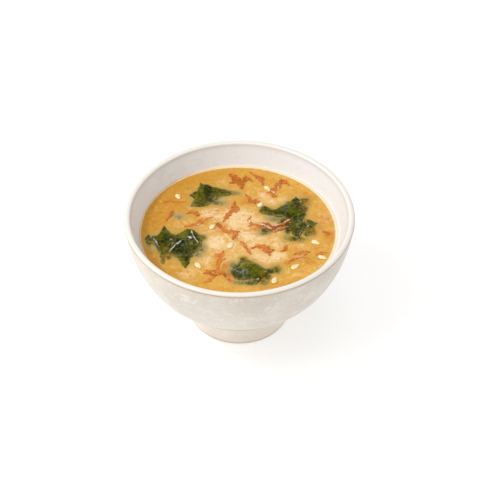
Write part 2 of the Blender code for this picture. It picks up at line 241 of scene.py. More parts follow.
def placeCamera():
    lens = bpy.data.cameras.new("camera")
    lens.lens = camera["focal"]
    lens.sensor_width = camera["sensor"]
    lens.clip_start = camera["nearest"]
    above = math.radians(camera["above"])
    away, up = camera["distance"] * math.cos(above), camera["distance"] * math.sin(above)
    eye = bpy.data.objects.new("camera", lens)
    eye.location = (0, -away, camera["target"] + up)
    pitch = math.radians(90 - camera["above"] + camera["raise"])
    eye.rotation_euler = (pitch, 0, math.radians(camera["turn"]))
    bpy.context.scene.collection.objects.link(eye)
    bpy.context.scene.camera = eye


light = {
    "sky": 0.73,
    "skyTone": (1.0, 0.995, 0.985, 1.0),
    "tone": (1.0, 0.985, 0.96),
    "aim": (0, 0, 0.05),
    "lamps": {
        "key": {"place": (-0.85, -0.25, 1.05), "size": 0.9, "watts": 5.0},
        "fill": {"place": (-0.85, -0.36, 0.10), "size": 0.5, "watts": 0.5},
        "glint": {"place": (-0.52, -0.08, 0.66), "size": 0.07, "watts": 1.3},
    },
}


def placeLights():
    world = bpy.data.worlds.new("studio")
    bpy.context.scene.world = world
    world.use_nodes = True
    background = world.node_tree.nodes["Background"]
    background.inputs["Color"].default_value = light["skyTone"]
    background.inputs["Strength"].default_value = light["sky"]
    for name, values in light["lamps"].items():
        lamp = bpy.data.lights.new(name, "AREA")
        lamp.shape = "DISK"
        lamp.size = values["size"]
        lamp.energy = values["watts"]
        lamp.color = light["tone"]
        holder = bpy.data.objects.new(name, lamp)
        holder.location = values["place"]
        aim = Vector(light["aim"]) - holder.location
        holder.rotation_euler = aim.to_track_quat("-Z", "Y").to_euler()
        bpy.context.scene.collection.objects.link(holder)
    bpy.context.scene.view_settings.view_transform = "Standard"


ground = {"half": 20.0, "greys": (0.70, 0.72), "patch": 40, "glow": 0.49, "roughness": 0.9}


def makeFloor():
    half = ground["half"]
    corners = [(-half, -half, 0), (half, -half, 0), (half, half, 0), (-half, half, 0)]
    floor = newPiece("floor", corners, [(0, 1, 2, 3)])
    paint = Paint("floor")
    dark, pale = ((grey, grey, grey, 1) for grey in ground["greys"])
    shade = paint.mix(dark, pale, paint.speckle(ground["patch"], detail=3))
    glow = {"Emission_Color": (1, 1, 1, 1), "Emission_Strength": ground["glow"]}
    matt = {"Roughness": ground["roughness"], "Specular_IOR_Level": 0.0}
    floor.data.materials.append(paint.finish(Base_Color=shade, **matt, **glow))


# the bowl: a turned profile, radius and height in millimetres
bowlLow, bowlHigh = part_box("bowl")
bowl = {
    "radius": (bowlHigh[0] - bowlLow[0]) / 2 / mm,
    "height": bowlHigh[2] / mm,
    "segments": 224,
    "core": 30.0,  # radius of the ring that the profile is swept along
    "weld": 0.002,
    "lip": 3.15,
    "lipDepth": 1.8,
    "lipProud": 0.25,
    "lipTuck": 0.6,
    "wall": 5.6,
    "wallEven": 4.0,
    "foot": 26.1,
    "footHeight": 10.4,
    "footWaist": 0.4,
    "footEdge": 0.7,
    "footRing": 4.4,
    "recess": ((0.0, 3.9), (17.0, 3.6), (19.4, 3.1)),  # of the foot's underside
    "basin": ((0.0, 6.2), (14.0, 7.4)),
    "body": ((27.9, 13.6), (33.85, 18.6), (39.85, 24.6), (47.6, 34.6), (53.1, 46.3), (56.1, 57.3)),
    "level": 55.8,  # of the soup
    "soupRadius": 50.2,
    # where the glaze is thin and shows the clay, at the foot's bottom edge, and where shade is painted as a
    # darker line: at the lip's outer edge, there partly thin glaze too, and where the belly meets the foot;
    # each radius, height, reach and strength
    "thinGlazeAndShade": ((57.5, 66.4, 0.7, 1.0), (25.9, 0.3, 0.8, 0.9), (26.2, 10.9, 0.9, 1.0)),
    "paintedCreaseShade": (54.3, 66.0, 0.75),  # painted shade where the lip's roll meets the wall: radius, height and reach
    "wobble": 0.14,  # of the wall, as a hand-turned bowl has
    "wobbleFrom": 20,  # height at which it is full
    "lipWobble": 0.16,
    "lipWobbleFrom": 33.5,  # height at which it begins
    "lipWaves": 1.7,  # as many as of the wall's
    "waves": 1.3,  # of the wobble, for each radius along the rim
    "waveHeight": 40,
    "insideFrom": 2.4,  # inwards from the outer face, where the inside's colour begins
    "insideLow": 14.4,
    "tones": {
        "pale": (231, 224, 214), "dim": (215, 206, 195), "belly": (188, 176, 163), "cool": (208, 205, 198),
        "bright": (242, 236, 227), "warm": (208, 195, 180), "fleck": (196, 184, 168),
        "under": (128, 116, 102), "foot": (242, 230, 214), "inside": (247, 250, 254),
        "insideCool": (228, 227, 230), "lip": (249, 245, 239), "paintedCreaseShade": (204, 203, 206),
        "clayAndShadeTone": (178, 152, 122),
    },
}


def smoothCurve(points, steps):
    knots = [2 * np.array(points[0]) - np.array(points[1])] + [np.array(p, float) for p in points]
    knots.append(2 * knots[-1] - knots[-2])
    curve = [knots[1]]
    for a, b, c, d in zip(knots, knots[1:], knots[2:], knots[3:]):
        for step in range(1, steps + 1):
            t = step / steps
            curve.append(0.5 * (2 * b + (c - a) * t + (2 * a - 5 * b + 4 * c - d) * t**2
                                + (3 * b - a - 3 * c + d) * t**3))
    return curve


def arc(middle, across, up, start, end, steps):
    turns = np.radians(np.linspace(start, end, steps + 1))
    return [(middle[0] + across * math.cos(t), middle[1] + up * math.sin(t)) for t in turns]


def hollowCurve(wall):
    outside = smoothCurve(bowl["basin"] + bowl["body"], 8)
    inside = [(0.0, outside[0][1] + wall)]
    for before, here, after in zip(outside, outside[1:], outside[2:]):
        along = (after - before) / np.linalg.norm(after - before)
        point = here + np.array((-along[1], along[0])) * wall
        if point[1] < bowl["level"] - bowl["wallEven"]:
            inside.append((point[0], point[1]))
    return inside[::-1]


def bowlProfile():
    b = bowl
    ringOut = b["foot"] - b["footEdge"]
    ringIn = ringOut - b["footRing"]
    edge = b["footEdge"]
    base = list(b["recess"])
    base += arc((ringIn, edge), edge, edge, 180, 270, 4) + arc((ringOut, edge), edge, edge, 270, 360, 5)
    waist = [(b["foot"] - b["footWaist"], b["footHeight"] / 2), (b["foot"], b["footHeight"])]
    base += [tuple(p) for p in smoothCurve([base[-1]] + waist + [b["body"][0]], 6)][1:]
    underLip = (b["radius"] - b["lipProud"], b["height"] - b["lipDepth"])
    side = [tuple(p) for p in smoothCurve(b["body"] + (underLip,), 9)][1:]
    half = b["lip"] / 2
    middle = (b["radius"] - half, underLip[1] + b["lipTuck"])
    lip = arc(middle, half, b["lipDepth"] - b["lipTuck"], 0, 180, 18)
    inner = smoothCurve([lip[-1], (b["soupRadius"], b["level"]), hollowCurve(b["wall"])[0]], 8)[1:-1]
    return base + side + lip + [tuple(p) for p in inner] + hollowCurve(b["wall"])


# turns the profile of a piece round the upright axis
def turningTree():
    tree = Tree("turning", {"Core": "Float", "Segments": "Int", "Material": "Material"})
    given = tree.given
    profile = tree.add("GeometryNodeMeshToCurve", {}, {"Mesh": given["Geometry"]})
    sockets = {"Resolution": given["Segments"], "Radius": given["Core"]}
    ring = tree.add("GeometryNodeCurvePrimitiveCircle", {}, sockets)
    swept = tree.add("GeometryNodeCurveToMesh", {}, {"Curve": ring, "Profile Curve": profile})
    merged = tree.add("GeometryNodeMergeByDistance", {}, {"Geometry": swept, "Distance": bowl["weld"] * mm})
    return tree.close(merged)


def glazePaint():
    paint = Paint("stoneware_glaze")
    tones = tonesOf(bowl)
    height = paint.height()
    cloud = paint.speckle(20, detail=4, rough=0.6, warp=0.8)
    brush = paint.speckle(5, detail=6, rough=0.7, warp=1.6, seed=0.3, flat=1.5)
    fine = paint.speckle(1.2, detail=4, rough=0.7, seed=0.9)
    cool = paint.speckle(7, detail=5, rough=0.65, warp=1.2, seed=0.6).step(0.52, 0.70)
    base = paint.mix(tones["pale"], tones["dim"], cloud.step(0.36, 0.66))
    base = paint.mix(base, tones["belly"], height.step(10.0, 12.5) * 0.42)
    base = paint.mix(base, tones["cool"], cool * 0.35)
    base = paint.mix(base, tones["bright"], brush.step(0.52, 0.66) * 0.5)
    base = paint.mix(base, tones["warm"], (1 - brush.step(0.34, 0.48)) * 0.35)
    base = paint.mix(base, tones["fleck"], (1 - fine.step(0.36, 0.46)) * 0.35)
    # painted shade under the belly, from about 11 to 33 mm above the table
    under = height.step(11.0, 13.0) * (1 - height.step(24.0, 33.0))
    base = paint.mix(base, tones["under"], under * 0.7)
    base = paint.mix(base, tones["foot"], (1 - height.step(9.5, 11.0)) * 0.55)
    # the inner wall is painted as a lighter, cooler copy of the glaze: painted light against the shade and
    # the soup's warm bounce inside the bowl
    inside = paint.mix(base, tones["inside"], 0.82)
    inside = paint.mix(inside, tones["insideCool"], cool * 0.55)
    base = paint.mix(base, inside, paint.attribute("inside"))
    # the lip's top is painted lighter: a painted highlight
    lip = height.step(bowl["height"] - 2.4, bowl["height"] - 1.4)
    base = paint.mix(base, tones["lip"], lip * 0.8)
    # painted shade in the crease where the lip's roll meets the wall
    base = paint.mix(base, tones["paintedCreaseShade"], paint.attribute("paintedCreaseShade") * 0.8)
    # thin glaze shows the clay at the foot's bottom edge; at the lip's outer edge the darker line is partly
    # thin glaze and partly painted shade, and where the belly meets the foot it is painted shade
    clayAndShade = paint.attribute("clayAndShade") * (0.55 + brush * 0.9)
    base = paint.mix(base, tones["clayAndShadeTone"], clayAndShade)
    rough = 0.34 + cloud * 0.12 + clayAndShade * 0.2
    paint.relief(brush * 0.6 + fine * 0.4, 0.08, 0.6)
    return paint.finish(Base_Color=base, Roughness=rough)


def makeBowl():
    core = bowl["core"]
    profile = [((r - core) * mm, -z * mm, 0.0) for r, z in bowlProfile()]  # the sweep turns it over
    piece = newPiece("bowl_turned", profile, [])
    piece.data.edges.add(len(profile) - 1)
    for i, edge in enumerate(piece.data.edges):
        edge.vertices = (i, i + 1)
    paint = glazePaint()
    applyTree(piece, turningTree(), Core=core * mm, Segments=bowl["segments"], Material=paint)
    points = pointsOf(piece)
    radius = np.hypot(points[:, 0], points[:, 1])
    print("bowl swept:", len(points), "points, radius", radius.max() / mm, "height", points[:, 2].max() / mm)
    for i, (x, y, z) in enumerate(points):
        if radius[i] < 0.01 * mm:
            continue
        up = z / mm
        turn = Vector((x / radius[i], y / radius[i], 0)) * bowl["waves"]
        turn += Vector((0, 0, up / bowl["waveHeight"]))
        swell = noise.noise(turn) * bowl["wobble"] * mm * min(1, up / bowl["wobbleFrom"])
        upper = max(0, up / bowl["lipWobbleFrom"] - 1)
        lift = noise.noise(turn * bowl["lipWaves"] + Vector((5, 0, 0))) * bowl["lipWobble"] * mm
        points[i, :2] *= 1 + swell / radius[i]
        points[i, 2] += lift * upper
    setPoints(piece, points)
    height = points[:, 2] / mm
    radius /= mm
    clayAndShade = np.zeros(len(points))
    for place, middle, reach, strength in bowl["thinGlazeAndShade"]:
        away = np.hypot(radius - place, height - middle)
        clayAndShade = np.maximum(clayAndShade, strength * np.exp(-((away / reach) ** 2)))
    floatAttribute(piece, "clayAndShade", clayAndShade)
    fold, foldHeight, foldReach = bowl["paintedCreaseShade"]
    away = np.hypot(radius - fold, height - foldHeight)
    floatAttribute(piece, "paintedCreaseShade", np.exp(-((away / foldReach) ** 2)))
    outside = [tuple(p) for p in smoothCurve(bowl["body"], 4)] + [(bowl["radius"], bowl["height"])]
    outside = np.array(outside)
    within = radius < np.interp(height, outside[:, 1], outside[:, 0]) - bowl["insideFrom"]
    floatAttribute(piece, "inside", (within & (height > bowl["insideLow"])).astype(float))
    settle(piece, paint, "bowl")


# the wakame leaves: the upper faces of the CAD leaves, made finer, with wrinkles and torn margins
wakame = {
    "thickness": 0.38,
    "rounds": 3,  # of dividing each triangle in four
    "smoothings": 24,
    "weld": 0.001,
    "facing": 0.2,  # least upward share of a face's normal, for a face of the upper side
    "seedStep": 7.3,  # between the leaves' patterns of noise
    "float": 0.12,  # least height over the soup, where nothing veils a leaf
    "floatShare": 0.85,  # of what lies lower, by which it is raised
    "sink": 0.5,  # of a veiled part
    "wrinkle": 0.34,  # height of the fine wrinkles
    "wrinkleSize": 2.4,
    "fineSize": 2.4 / 2.7,
    "wrinkleReach": 0.8,  # from the margin in, where the wrinkles grow to their height
    "tear": 0.88,  # how far the margin wanders
    "tearSize": 1.0,
    "curl": 0.35,  # up or down at the margin
    "curlSize": 4.0,
    "curlReach": 1.2,
    "dip": 0.22,  # of the margin into the soup
    "dipReach": 0.5,
    "film": (0.6, 0.1, 0.25),  # of soup over low parts: strength, height and reach
    "margin": (0.25, 0.5),  # soup over the margin: strength and reach
    "tones": {
        "deep": (44, 50, 2), "green": (74, 76, 2), "light": (110, 106, 4), "olive": (112, 110, 12),
        "brown": (122, 88, 14), "fold": (22, 28, 10), "dark": (14, 22, 0), "darkFleck": (14, 20, 0),
        "fleck": (134, 130, 40), "paintedSheen": (140, 150, 128), "veil": (162, 144, 72), "glint": (232, 236, 234),
    },
    # sharp creases that stand up, each a course of x, y and half width, and its height
    "creases": (
        (((-44.2, -4.8, 0.7), (-43, -6.8, 0.7), (-41, -9.9, 0.7), (-39.8, -12.6, 0.7), (-39, -16.4, 0.7)),
          0.7),
        (((-34.8, -16.6, 0.8), (-31.5, -13.3, 0.8), (-28, -9, 0.8)), 0.9),
        (((-24, -2.4, 0.7), (-23.4, -5, 0.7), (-21.8, -8, 0.7), (-20.4, -10.3, 0.7)), 0.8),
        (((-34.3, -7.8, 0.6), (-32.2, -5.8, 0.6)), 0.5),
        (((31.2, 20.6, 0.6), (32.8, 17, 0.6), (33.4, 14, 0.6)), 0.7),
        (((35.2, 3.6, 0.6), (33.6, 2, 0.6), (31, -1.6, 0.6), (29.6, -4.6, 0.6)), 0.7),
        (((-3.6, -28.6, 0.6), (-2.2, -29.6, 0.6), (-0.6, -31, 0.6)), 0.6),
        (((13, -30.2, 0.6), (11, -33, 0.6), (8.6, -35.8, 0.6)), 0.6),
    ),
    # painted highlights on the wet ridges, each a course of x, y and half width, and its strength
    "paintedGlints": (
        (((-44.2, -5.2, 0.08), (-43.4, -6.5, 0.14), (-42.2, -8.5, 0.1), (-41.2, -9.9, 0.2),
          (-40.4, -11.6, 0.12), (-39.6, -13.2, 0.06)), 0.9),
        (((-39.3, -16.2, 0.2), (-39.2, -16.9, 0.2)), 0.7),
        (((-35.1, -16.8, 0.2), (-34.7, -16.4, 0.26)), 0.8),
        (((-34.1, -15.9, 0.14), (-32.8, -14.8, 0.2), (-31.5, -13.3, 0.46), (-30.2, -11.9, 0.26),
          (-28.9, -10.2, 0.12), (-28, -8.8, 0.06)), 1),
        (((-34.4, -7.7, 0.28), (-33.2, -6.9, 0.26), (-32.2, -5.8, 0.1)), 0.5),
        (((-24, -2.2, 0.1), (-23.6, -3.8, 0.26), (-22.9, -5.8, 0.2), (-21.8, -8.1, 0.14),
          (-20.4, -10.3, 0.14)), 1),
        (((-25.3, -5.5, 0.32), (-24.6, -6.1, 0.36), (-23.2, -6.8, 0.12)), 0.9),
        (((31, 21.2, 0.1), (31.4, 20.2, 0.26), (31.8, 19.2, 0.1)), 0.9),
        (((32, 18.6, 0.1), (32.9, 16.6, 0.22), (33, 15.2, 0.16), (33.8, 13.8, 0.12)), 0.7),
        (((33.2, 8.6, 0.2), (32.5, 7, 0.22), (32.6, 5.6, 0.14)), 0.6),
        (((35.5, 3.7, 0.14), (34.6, 2.9, 0.1), (33.8, 2.2, 0.3), (32.4, 0.2, 0.1), (31.2, -1.5, 0.28),
          (29.8, -4.4, 0.08)), 0.9),
        (((-3.6, -28.4, 0.22), (-2.2, -29.6, 0.16)), 0.85),
        (((-1.5, -29.6, 0.28), (-0.7, -30.6, 0.2)), 0.6), (((13.1, -30.1, 0.26), (12.6, -30.9, 0.1)), 0.6),
        (((9.1, -35.2, 0.26), (8.5, -35.8, 0.1)), 0.75), (((8, -36.8, 0.2), (7.7, -37.2, 0.1)), 0.5),
    ),
    # painted shade of the folds beside them, given alike
    "paintedFoldShade": (
        (((14, -31.2, 0.3), (12, -33.6, 0.45), (10, -36.2, 0.45), (8.6, -38, 0.3)), 1),
        (((-35.8, -16, 0.5), (-32.8, -13, 0.7), (-29.6, -9.6, 0.6)), 0.9),
        (((-33.2, -16.8, 0.5), (-30.4, -14.2, 0.7), (-28, -10.8, 0.5)), 0.9),
        (((-45.2, -5.8, 0.4), (-42.8, -10.2, 0.5), (-41, -13.4, 0.4), (-39.8, -16, 0.4)), 0.8),
        (((-24.8, -2.4, 0.5), (-24.8, -4.4, 0.6), (-26.2, -6.4, 0.4)), 1),
        (((-22.6, -3.2, 0.4), (-21.2, -6.4, 0.4), (-19.6, -9.6, 0.3)), 0.8),
        (((-24, -7, 0.4), (-22.2, -9.4, 0.4)), 0.6),
        (((36.4, 3, 0.4), (33.8, 0.2, 0.5), (31.2, -3.2, 0.5), (29.4, -5.8, 0.4)), 0.9),
        (((30, 23, 0.4), (30.8, 20, 0.3), (32.2, 16, 0.4)), 0.6),
    ),
    # where a leaf is darker, partly its own deep tone and partly painted shade of its folds:
    # x, y, half width, half depth and strength, as in the lists below
    "dark": (
        (-17, 30, 2.5, 4, 0.7), (-15, 23, 3, 3, 0.6), (24.5, 9.5, 3, 3, 0.7), (24.6, 1, 2.2, 5, 0.8),
        (22.5, 6.5, 2.6, 3, 0.8), (29.5, -4, 3, 1.6, 0.6), (20, 12.5, 3, 2, 0.7), (29.5, 20, 2, 4, 0.4),
        (12.8, 0.8, 2.6, 1.6, 1), (14.5, -0.8, 2.2, 1.4, 1), (15, 14, 3, 1.2, 0.6), (-31, -9.5, 4, 2.4, 1),
        (-32.5, -12, 2.4, 3, 1), (-27, -13, 4, 4, 0.7), (-29.5, -15.5, 3, 2, 0.8),
        (-44.5, -7.5, 1.6, 2.4, 0.6), (-38.5, -9, 1.5, 1.3, 0.7), (-35, -5, 1.5, 1.5, 0.5),
        (-22, -3.5, 1.6, 1.4, 0.6), (-26, -20.5, 1.3, 2.5, 0.7), (-22.3, -13.8, 1.5, 0.8, 0.5),
        (-2.2, -32.5, 2, 2.4, 0.9), (0.2, -34.6, 1.2, 1.2, 0.6), (2.8, -25.8, 0.9, 0.7, 0.8),
        (36, 5, 2, 1.5, 0.4),
    ),
    # painted sheen, dull and wet
    "paintedSheen": (
        (24, 16.2, 1, 2.2, 0.9), (23.2, 18.2, 1, 0.8, 0.6), (28.6, 17.2, 1.2, 1.4, 0.2),
        (21, 10.6, 2.2, 1, 0.4), (30, 5, 1.4, 4.5, 0.45), (1.6, -30.2, 2.4, 1.8, 1), (-1.4, -27, 2, 2, 0.9),
        (2.4, -33.2, 2.4, 1, 0.5), (-1.5, -23.6, 2.4, 2, 0.9), (5, -35.5, 3, 1.2, 0.5),
        (10.5, -26, 1.4, 0.8, 0.3), (-33.5, -7, 1.2, 1, 0.6), (-35.2, -9, 1.2, 0.8, 0.5),
        (-31.5, -10.5, 2, 1, 0.4), (-27, -12.5, 1.6, 2, 0.4), (-26.8, -7.4, 1.2, 2.4, 0.5),
        (-24.4, -9.6, 1.6, 1.6, 0.4), (-22, -17, 3, 2, 0.5), (-19.5, -13, 1.5, 2, 0.3),
        (-29, -17.8, 2, 0.9, 0.4), (-42.5, -12, 1.5, 2.5, 0.5), (-13, 25.5, 3, 1.6, 0.2),
        (-15.5, 24, 1.6, 1, 0.4),
    ),
    # where a leaf is thinner: paler green, or brown
    "olive": (
        (-21, 28, 4, 8, 0.7), (13, 15, 4, 3, 0.4), (31, 20, 2, 4, 0.5), (35.5, 5.5, 2.5, 2, 0.8),
        (26, 20, 3, 1.6, 0.9), (20, 16.5, 2.5, 1.2, 0.6), (28, 13, 4, 4, 0.4), (30, 4.5, 2, 4.5, 0.7),
        (-28.5, -3.5, 4.5, 3.2, 1.2), (-38, -2, 3, 3, 0.7), (-41, -7, 2, 2.5, 0.7),
        (-36.5, -14, 2.4, 3.5, 1), (-28, -22, 2.5, 4, 0.8), (-23.5, -11, 2.5, 3, 0.4),
        (-31, -18.5, 1.6, 1.2, 0.6), (3, -24.5, 3.4, 3.2, 1.5), (11.5, -30.5, 2.6, 2.4, 1.6),
        (7, -28, 4, 3, 1.1), (18, -27.5, 3.4, 3.4, 2.2),
    ),
    "brown": (
        (-37.6, -20.5, 1.8, 3.5, 0.8), (-34.5, -18.2, 2, 1.5, 0.8), (-45.5, -5, 1.5, 1.5, 0.5),
        (-26, 0, 4, 1, 0.8), (-27.5, -25.5, 1.5, 1.5, 0.6), (-34, -4, 1.5, 2, 0.4), (34.5, 21, 2.5, 5, 1.3),
        (37.5, 5.5, 2.5, 1.2, 0.6), (37, -1, 2.5, 3.5, 0.9), (13, 12.5, 3, 1.2, 0.5), (29, 25, 1, 1, 0.5),
        (36, 18, 1.5, 4, 0.6), (12.5, -35, 2.5, 3.5, 0.9), (14, -28, 2.5, 1.5, 0.7),
        (2.5, -19.5, 1.6, 1, 0.6), (15.5, -31, 1.5, 1.2, 0.6), (18, -26.5, 3, 3, 0.4), (28, 22, 2, 2, 0.4),
        (-24, 30, 1.5, 5, 0.4),
    ),
    # where a margin fades into the soup
    "soft": (
        (-1, -25, 4, 5, 0.6), (-1, -34, 4, 4, 0.6), (5, -36, 5, 3, 0.45), (9, -24, 5, 3, 0.8),
        (18, -27, 4, 4, 0.25), (-19.5, -13.5, 3.5, 6, 1), (-44, -9, 3, 5, 0.7), (-37, -21, 3, 4, 0.3),
        (-33, -19, 3, 3, 0.6), (13, 11, 5, 3, 0.6), (20, 9, 6, 3, 0.65), (24, 0, 2, 6, 0.45),
        (29, -6, 6, 3, 0.35), (38, -1, 3, 5, 0.8), (12, -2, 3, 1.5, 0.6), (-8, 26, 6, 4, 0.3),
        (-14, 19, 6, 3, 0.7), (-19, -4, 3, 3, 0.7), (-24, 20, 3, 4, 0.6),
    ),
    # where soup lies over a leaf
    "veils": (
        (-6, 28.5, 4.5, 3, 0.2), (-13, 20, 6, 2, 0.55), (-10, 24.5, 3, 3, 0.35), (34.8, 20, 3, 7, 0.72),
        (37.5, -1.5, 3, 3.5, 0.8), (12, 12.5, 3, 1.6, 0.5), (-19, -14, 2, 4, 0.7), (-45.5, -7, 2, 3, 0.2),
        (-18.6, -5, 1.8, 2.2, 0.6), (-0.5, -23.5, 3, 3.5, 0.6), (12.5, -36, 3, 3, 0.3),
        (-33, -18.5, 3, 1.5, 0.6), (-37.5, -22, 2, 2, 0.1), (18, -26, 3.5, 3, 0.42), (28, -6, 4, 1.6, 0.25),
        (8.2, -23.6, 3.4, 1.8, 0.95), (13.5, -27, 3, 1.4, 0.2), (-9, 23.5, 4, 2, 0.8),
        (5, -36, 5, 1.6, 0.3),
    ),
}
leafNodes = [name for name in sorted(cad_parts) if name.startswith("wakame")]


# how near each place lies to a course of x, y and half width: 1 on it, 0 well away from it
def nearness(places, course):
    near = np.zeros(len(places))
    for (ax, ay, aWide), (bx, by, bWide) in zip(course, course[1:]):
        dx, dy = bx - ax, by - ay
        share = np.clip(((places[:, 0] - ax) * dx + (places[:, 1] - ay) * dy) / (dx * dx + dy * dy), 0, 1)
        away = np.hypot(places[:, 0] - ax - share * dx, places[:, 1] - ay - share * dy)
        near = np.maximum(near, np.exp(-((away / (aWide + (bWide - aWide) * share)) ** 2)))
    return near


# the strongest of several courses at each place, each with its strength
def streaks(places, courses):
    return np.max([strength * nearness(places, course) for course, strength in courses], axis=0)


# soft spots, each x, y, half width, half depth and strength: the strongest at each place
def blobs(x, y, spots):
    total = np.zeros_like(x, dtype=float)
    for cx, cy, wide, deep, strength in spots:
        total = np.maximum(total, strength * np.exp(-(((x - cx) / wide) ** 2 + ((y - cy) / deep) ** 2)))
    return total


def noiseAt(places, size, seed):
    return np.array([noise.noise(Vector((x / size, y / size, seed))) for x, y in places[:, :2]])


# a CAD leaf's upper face, with finer triangles
def leafTop(name):
    bm = bmesh.new()
    bm.from_mesh(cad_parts[name].data)
    bmesh.ops.remove_doubles(bm, verts=bm.verts, dist=wakame["weld"] * mm)
    bm.normal_update()
    lower = [face for face in bm.faces if face.normal.z < wakame["facing"]]
    bmesh.ops.delete(bm, geom=lower, context="FACES")
    for _ in range(wakame["rounds"]):
        bmesh.ops.subdivide_edges(bm, edges=bm.edges, cuts=1, use_grid_fill=True)
        bmesh.ops.triangulate(bm, faces=bm.faces)
    for _ in range(wakame["smoothings"]):
        bmesh.ops.smooth_vert(bm, verts=bm.verts, factor=0.5, use_axis_z=True)
    return bm


# how far each point of the margin wanders outwards or inwards
def tornMargin(rim, seed):
    wander = {}
    for vert in rim:
        links = [e.other_vert(vert).co for e in vert.link_edges if e.is_boundary]
        along = (links[1] - links[0]) if len(links) == 2 else Vector((1, 0, 0))
        out = Vector((along.y, -along.x, 0)).normalized()
        place = Vector((vert.co.x, vert.co.y, 0)) / (wakame["tearSize"] * mm) + Vector((0, 0, seed))
        wander[vert] = out * noise.noise(place) * wakame["tear"] * mm
    return wander


def leafSheet(name):
    w = wakame
    bm = leafTop(name)
    seed = leafNodes.index(name) * w["seedStep"]
    rim = [vert for vert in bm.verts if vert.is_boundary]
    rimTree = KDTree(len(rim))
    for count, vert in enumerate(rim):
        rimTree.insert((vert.co.x, vert.co.y, 0), count)
    rimTree.balance()
    wander = tornMargin(rim, seed)
    places = np.array([tuple(vert.co) for vert in bm.verts]) / mm
    x, y, z = places.T
    margins = np.array([rimTree.find((vert.co.x, vert.co.y, 0))[2] for vert in bm.verts]) / mm
    wrinkle = 1 - 4 * np.abs(noiseAt(places, w["wrinkleSize"], seed))
    fine = noiseAt(places, w["fineSize"], seed)
    inner = 1 - 0.7 * np.exp(-margins / w["wrinkleReach"])
    veiled = blobs(x, y, w["veils"])
    rise = w["wrinkle"] * (wrinkle * 0.5 + 0.25 + fine * 0.6) * inner
    rise += w["curl"] * noiseAt(places, w["curlSize"], seed) * np.exp(-margins / w["curlReach"])
    rise -= w["dip"] * np.exp(-margins / w["dipReach"]) + veiled * w["sink"]
    rise -= np.minimum(z - bowl["level"] - w["float"], 0) * w["floatShare"]
    rise += streaks(places, w["creases"])
    for vert, lift in zip(bm.verts, rise):
        vert.co.z += lift * mm
    for vert, shift in wander.items():
        vert.co += shift
    piece = newPiece(name + "_leaf", [], [])
    bm.to_mesh(piece.data)
    bm.free()
    strength, over, reach = w["film"]
    film = strength * np.exp(-np.maximum(0, z + rise - bowl["level"] + over) / reach)
    soft = blobs(x, y, w["soft"])
    strength, reach = w["margin"]
    margin = (strength + soft) * np.exp(-margins / (reach + soft))
    floatAttribute(piece, "veil", np.maximum(np.maximum(film, veiled), margin))
    # the leaf's own olive and brown, and where sheen is painted
    for layer in ("olive", "brown", "paintedSheen"):
        floatAttribute(piece, layer, blobs(x, y, w[layer]))
    # the leaf's deep tone together with the painted shade of its folds
    floatAttribute(piece, "dark", np.maximum(blobs(x, y, w["dark"]), streaks(places, w["paintedFoldShade"])))
    # where highlights are painted along the wet ridges
    floatAttribute(piece, "glint", streaks(places, w["paintedGlints"]))
    return piece


def wakamePaint():
    paint = Paint("wakame")
    tones = tonesOf(wakame)
    broad = paint.speckle(7, detail=3, warp=0.8)
    patch = paint.speckle(3.6, detail=5, rough=0.66, warp=1.2, seed=0.4)
    fine = paint.speckle(1.4, detail=4, rough=0.7, seed=0.7)
    sparkle = paint.speckle(0.7, detail=3, rough=0.7, seed=0.2)
    olive = paint.attribute("olive")
    base = paint.mix(tones["deep"], tones["green"], broad.step(0.42, 0.58))
    base = paint.mix(base, tones["light"], patch.step(0.50, 0.62) * 0.6)
    base = paint.mix(base, tones["olive"], olive * (0.3 + patch))
    base = paint.mix(base, tones["brown"], paint.attribute("brown") * (0.3 + broad))
    # darker where the leaf's tone is deep, and painted shade along its folds
    base = paint.mix(base, tones["fold"], paint.attribute("dark") * (1.25 - patch * 0.7))
    base = paint.mix(base, tones["dark"], (1 - patch.step(0.38, 0.50)) * (0.75 - olive * 0.3))
    base = paint.mix(base, tones["darkFleck"], (1 - fine.step(0.38, 0.48)) * (0.45 - olive * 0.15))
    base = paint.mix(base, tones["fleck"], fine.step(0.54, 0.64) * 0.4)
    # painted sheen on the wet leaves
    base = paint.mix(base, tones["paintedSheen"], paint.attribute("paintedSheen") * (0.1 + fine.step(0.40, 0.60) * 0.75))
    base = paint.mix(base, tones["veil"], paint.attribute("veil") * (fine * 1.6 + patch * 1.2 - 0.4))
    # painted highlights along the wet ridges, broken by noise
    glint = fine.step(0.41, 0.53) * 0.9 + sparkle.step(0.42, 0.56) * 1.2 - 0.4
    base = paint.mix(base, tones["glint"], paint.attribute("glint") * glint)
    paint.relief(patch * 0.7 + fine * 0.5, 0.5, 0.7)
    return paint.finish(Base_Color=base, Roughness=0.32 + fine * 0.2, IOR=1.33, Specular_IOR_Level=0.1)


def makeLeaves():
    paint = wakamePaint()
    pieces = []
    for name in leafNodes:
        piece = leafSheet(name)
        thick = piece.modifiers.new("thickness", "SOLIDIFY")
        thick.thickness = wakame["thickness"] * mm
        thick.offset = -1
        settle(piece, paint, name)
        pieces.append(piece)
    return pieces


